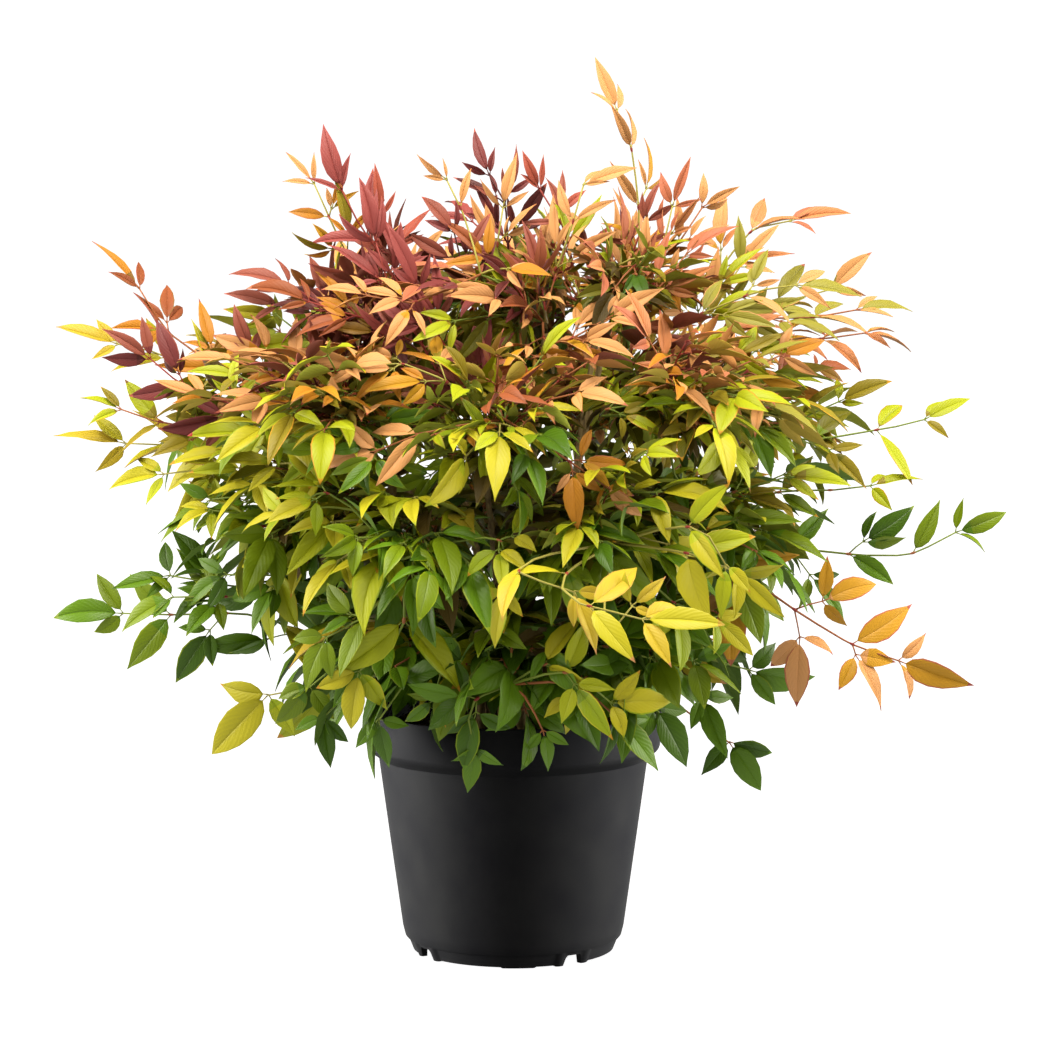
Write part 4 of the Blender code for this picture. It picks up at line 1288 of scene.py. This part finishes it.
    def unfold(self, fine, joints, facing, counts=None):
        """The rachis along a fine path, and the pinnae at its joints, which start from its end."""
        rng, length = self.rng, path_length(fine)
        stops = {0.0, length}
        for s in joints[1:]:
            stops |= {s - JOINT_HALF, s, s + JOINT_HALF}
        stops |= set(np.linspace(0, length, max(int(length / RACHIS_STEP), 4)).tolist())
        stops = np.array(sorted(stops))
        thick = RACHIS_THICK * math.sqrt(self.size)
        radii = thick + (RACHIS_THIN - thick) * stops / length
        shades = np.full(len(stops) - 1, self.stalk)
        for s in joints[1:]:
            radii[np.abs(stops - s) < 1e-6] *= JOINT_SWELL
            shades[np.abs((stops[1:] + stops[:-1]) / 2 - s) < JOINT_COLOURED] = self.joint
        self.stalks.add(along_path(fine, stops / length), radii, 5, shades)
        tangents = np.gradient(fine, axis=0)
        for rank, s in enumerate(joints):
            if rank == 0 or (counts is not None and rank > len(counts)):
                continue
            place = along_path(fine, [s / length])[0]
            heading = unit(tangents[int(round(s / length * (FINE - 1)))])
            normal = square_to(facing + rng.normal(0, FACING_STRAY, 3), heading)
            spread = (1.02 - 0.05 * rank) * (1 - 0.32 * self.high)
            for side, hand in enumerate((-1, 1)):
                out = turned(heading, normal, hand * spread * rng.uniform(0.82, 1.18))
                leaflets = counts[rank - 1][side] if counts is not None else None
                self.pinna(place, out, normal, rank, max(1.0 - 0.26 * rank, 0.0), leaflets)


def meets_pot(origin, tip):
    """Whether a leaflet would go through the pot's wall or into the growing medium."""
    start, end = math.hypot(*origin[:2]), math.hypot(*tip[:2])
    for place in (origin, (origin + tip) / 2, tip):
        off = abs(math.hypot(*place[:2]) - wall_radius(place[2]))
        if place[2] < POT_HEIGHT + CLEAR_ABOVE_RIM and off < CLEAR_OF_WALL:
            return True
    if start < wall_radius(origin[2]) < end and tip[2] < POT_HEIGHT:
        return True
    return end < MEDIUM_RADIUS + CLEAR_ROUND_MEDIUM and tip[2] < MEDIUM_TOP + CLEAR_OVER_MEDIUM


def height_share(z):
    """0 at the crown's lowest leaves and 1 at its top."""
    return min(max((z - CROWN_FOOT) / CROWN_HEIGHT, 0.0), 1.0)


def frond_base(mass, tip, reach, rng):
    """A place on a mass's twig about this far from a tip, and the twig's heading there."""
    spans = norm(mass.twig[2:] - tip, axis=1)
    off = np.abs(spans - rng.uniform(*reach))
    i = 2 + int(np.argmin(off + rng.uniform(0, BASE_CHOICE, len(spans))))
    return mass.twig[i], unit(mass.twig[i] - mass.twig[i - 1])


def roll_facing(ahead, outward, rng):
    """The way that a frond's upper side faces: up and outward, rolled by a random angle."""
    flat = unit(outward * (1, 1, 0) + 1e-6)
    facing = square_to(0.75 * UP + 0.5 * flat, ahead)
    return turned(facing, ahead, rng.normal(0, ROLL_SPREAD))


def group_of(lobe):
    """The piece that a lobe's leaves are joined into."""
    return lobe.node.split("_")[1], lobe.slot


def grow_crown(lines, materials):
    """Twigs, fronds and leaflets: shell by shell, then the sprigs, joined into a few pieces."""
    lobes = [Mass(n) for n in sorted(frame["nodes"]) if n.startswith("foliage_")]
    twigs = Tubes()
    grow_twigs(lobes, lines, twigs, SHADE_NUMBER["umber"])
    stalks = defaultdict(Tubes)
    groups = defaultdict(Foliage)
    for lobe in lobes:
        groups[group_of(lobe)].nodes.add(lobe.node)
    middles = np.array([lobe.middle for lobe in lobes])
    solid = joined_tree(lobes)
    for number, shell in enumerate(SHELLS):
        rng = np.random.default_rng(SEED + number)
        for tip in shell_tips(solid, shell, rng):
            lobe = lobes[int(np.argmin(norm(middles - tip, axis=1)))]
            key = group_of(lobe)
            high = height_share(tip[2])
            base, start = frond_base(lobe, tip, shell.reach, rng)
            tip = tip + unit(tip - CORE) * rng.uniform(*TIP_SHIFT)
            # Inner fronds take the darker family, which paints the crown's shade into their colour
            inner = rng.random() < shell.shaded
            family = "shaded" if inner else deal_family(tip - UP * shell.greener, rng)
            facing = roll_facing(unit(tip - base), unit(tip - CORE), rng)
            size = rng.uniform(0.86, 1.18) * (1.08 - 0.32 * high)
            joints = shell.joints - (shell.edged and high > 0.6)
            frond = Frond(groups[key], stalks[key[0]], family, size, high, rng, shell.edged, joints)
            frond.grow(base, start, tip, facing, (0.5 - 0.42 * high) * rng.uniform(0.6, 1.3))
    for number, sprig in enumerate(SPRIGS):
        rng = np.random.default_rng(SEED + 500 + number)
        start, tip = (np.array([x, sprig.depth, z]) for x, z in (sprig.start, sprig.tip))
        lobe = min(lobes, key=lambda m: float(np.min(norm(m.twig - start, axis=1))))
        key = group_of(lobe)
        if sprig.node:
            key = ("spray", SLOT_OF[sprig.node])
            groups[key].nodes.add(sprig.node)
        base = lobe.twig[int(np.argmin(norm(lobe.twig - start, axis=1)))]
        frond = Frond(groups[key], stalks[key[0]], sprig.family, sprig.size, height_share(tip[2]), rng)
        frond.follow(base, start, tip, sprig.bow, unit(np.array(sprig.facing)), sprig.pinnae)
    for (tier, slot), foliage in sorted(groups.items()):
        name = f"leaves_{tier}_{slot.removeprefix('leaf_')}"
        piece = foliage.build(name, materials)
        place_piece(piece, slot, *sorted(foliage.nodes))
    place_piece(twigs.build("twigs", materials), "cane_bark")
    for tier, tubes in sorted(stalks.items()):
        place_piece(tubes.build(f"leaf_stalks_{tier}", materials), "cane_bark")


# Studio


def make_floor():
    """A plain floor that glows a little."""
    material = mottled_material(
        "studio_floor", "f2f5fa", "f4f7fc", scale=3.0, roughness=0.75, specular=0.2, bump=0.05,
        bump_scale=90.0,
    )
    shader = material.node_tree.nodes["Principled BSDF"]
    set_inputs(material.node_tree, shader, Emission_Color=(*WHITE, 1.0), Emission_Strength=FLOOR_GLOW)
    points = [(x * FLOOR_HALF, y * FLOOR_HALF, FLOOR_HEIGHT) for x, y in ((-1, -1), (1, -1), (1, 1), (-1, 1))]
    floor = new_piece("studio_floor", points, [0, 1, 2, 3], [4], [0], [material])
    return floor


def add_light(box, aim, colour, piece, state):
    """A softbox. With state INCLUDE it lights only one piece, and with EXCLUDE all but that piece."""
    light = bpy.data.lights.new(box.name, "AREA")
    light.shape = "RECTANGLE"
    light.size, light.size_y = box.size
    light.energy = box.power
    light.color = colour
    obj = new_object(box.name, light)
    obj.location = box.place
    obj.rotation_euler = (Vector(aim) - Vector(box.place)).to_track_quat("-Z", "Y").to_euler()
    limits = bpy.data.collections.new(box.name)
    limits.objects.link(piece)
    limits.collection_objects[0].light_linking.link_state = state
    obj.light_linking.receiver_collection = limits


def make_studio(pot):
    """Softboxes round the plant, which leave the floor as it is, and two at the sides for the pot."""
    floor = make_floor()
    for box in CROWN_SOFTBOXES:
        add_light(box, CROWN_AIM, WARM, floor, "EXCLUDE")
    for box in POT_SOFTBOXES:
        add_light(box, POT_AIM, WHITE, pot, "INCLUDE")
    make_world()
    bpy.context.scene.view_settings.view_transform = "Standard"


def make_world():
    """Pure white behind the plant, and a dimmer warm light on it from all round."""
    world = bpy.data.worlds.new("studio")
    world.use_nodes = True
    tree = world.node_tree
    seen = set_inputs(tree, tree.nodes["Background"], Color=(*WHITE, 1.0), Strength=BACKDROP_STRENGTH)
    fill = add_node(tree, "ShaderNodeBackground", Color=(*FILL_COLOUR, 1.0), Strength=FILL_STRENGTH)
    path = tree.nodes.new("ShaderNodeLightPath")
    either = tree.nodes.new("ShaderNodeMixShader")
    tree.links.new(path.outputs["Is Camera Ray"], either.inputs[0])
    tree.links.new(fill.outputs[0], either.inputs[1])
    tree.links.new(seen.outputs[0], either.inputs[2])
    tree.links.new(either.outputs[0], tree.nodes["World Output"].inputs["Surface"])
    bpy.context.scene.world = world


def make_camera():
    camera = bpy.data.cameras.new("camera")
    camera.lens = CAMERA_LENS
    camera.sensor_width = CAMERA_FILM
    obj = new_object("camera", camera)
    obj.location = CAMERA_PLACE
    obj.rotation_euler = (math.pi / 2 - CAMERA_TILT, 0, 0)
    bpy.context.scene.camera = obj


make_camera()
plastic = mottled_material(
    "pot_plastic", "0a0a0b", "0e0e0e", scale=26.0, roughness=0.50, specular=0.006, bump=0.10, bump_scale=900.0
)
soil = mottled_material(
    "potting_mix", "17100b", "4a3826", scale=120.0, roughness=0.92, specular=0.2, bump=0.7, bump_scale=700.0
)
bark = mottled_material(
    "cane_bark", "5d4a2c", "a08a5a", scale=160.0, roughness=0.78, specular=0.3, bump=0.5, bump_scale=900.0,
    stretch=(1, 1, 0.12),
)
make_studio(make_pot(plastic))
make_medium(soil, np.random.default_rng(SEED + 900))
limb_lines = make_limbs(bark)
grow_crown(limb_lines, shade_materials())
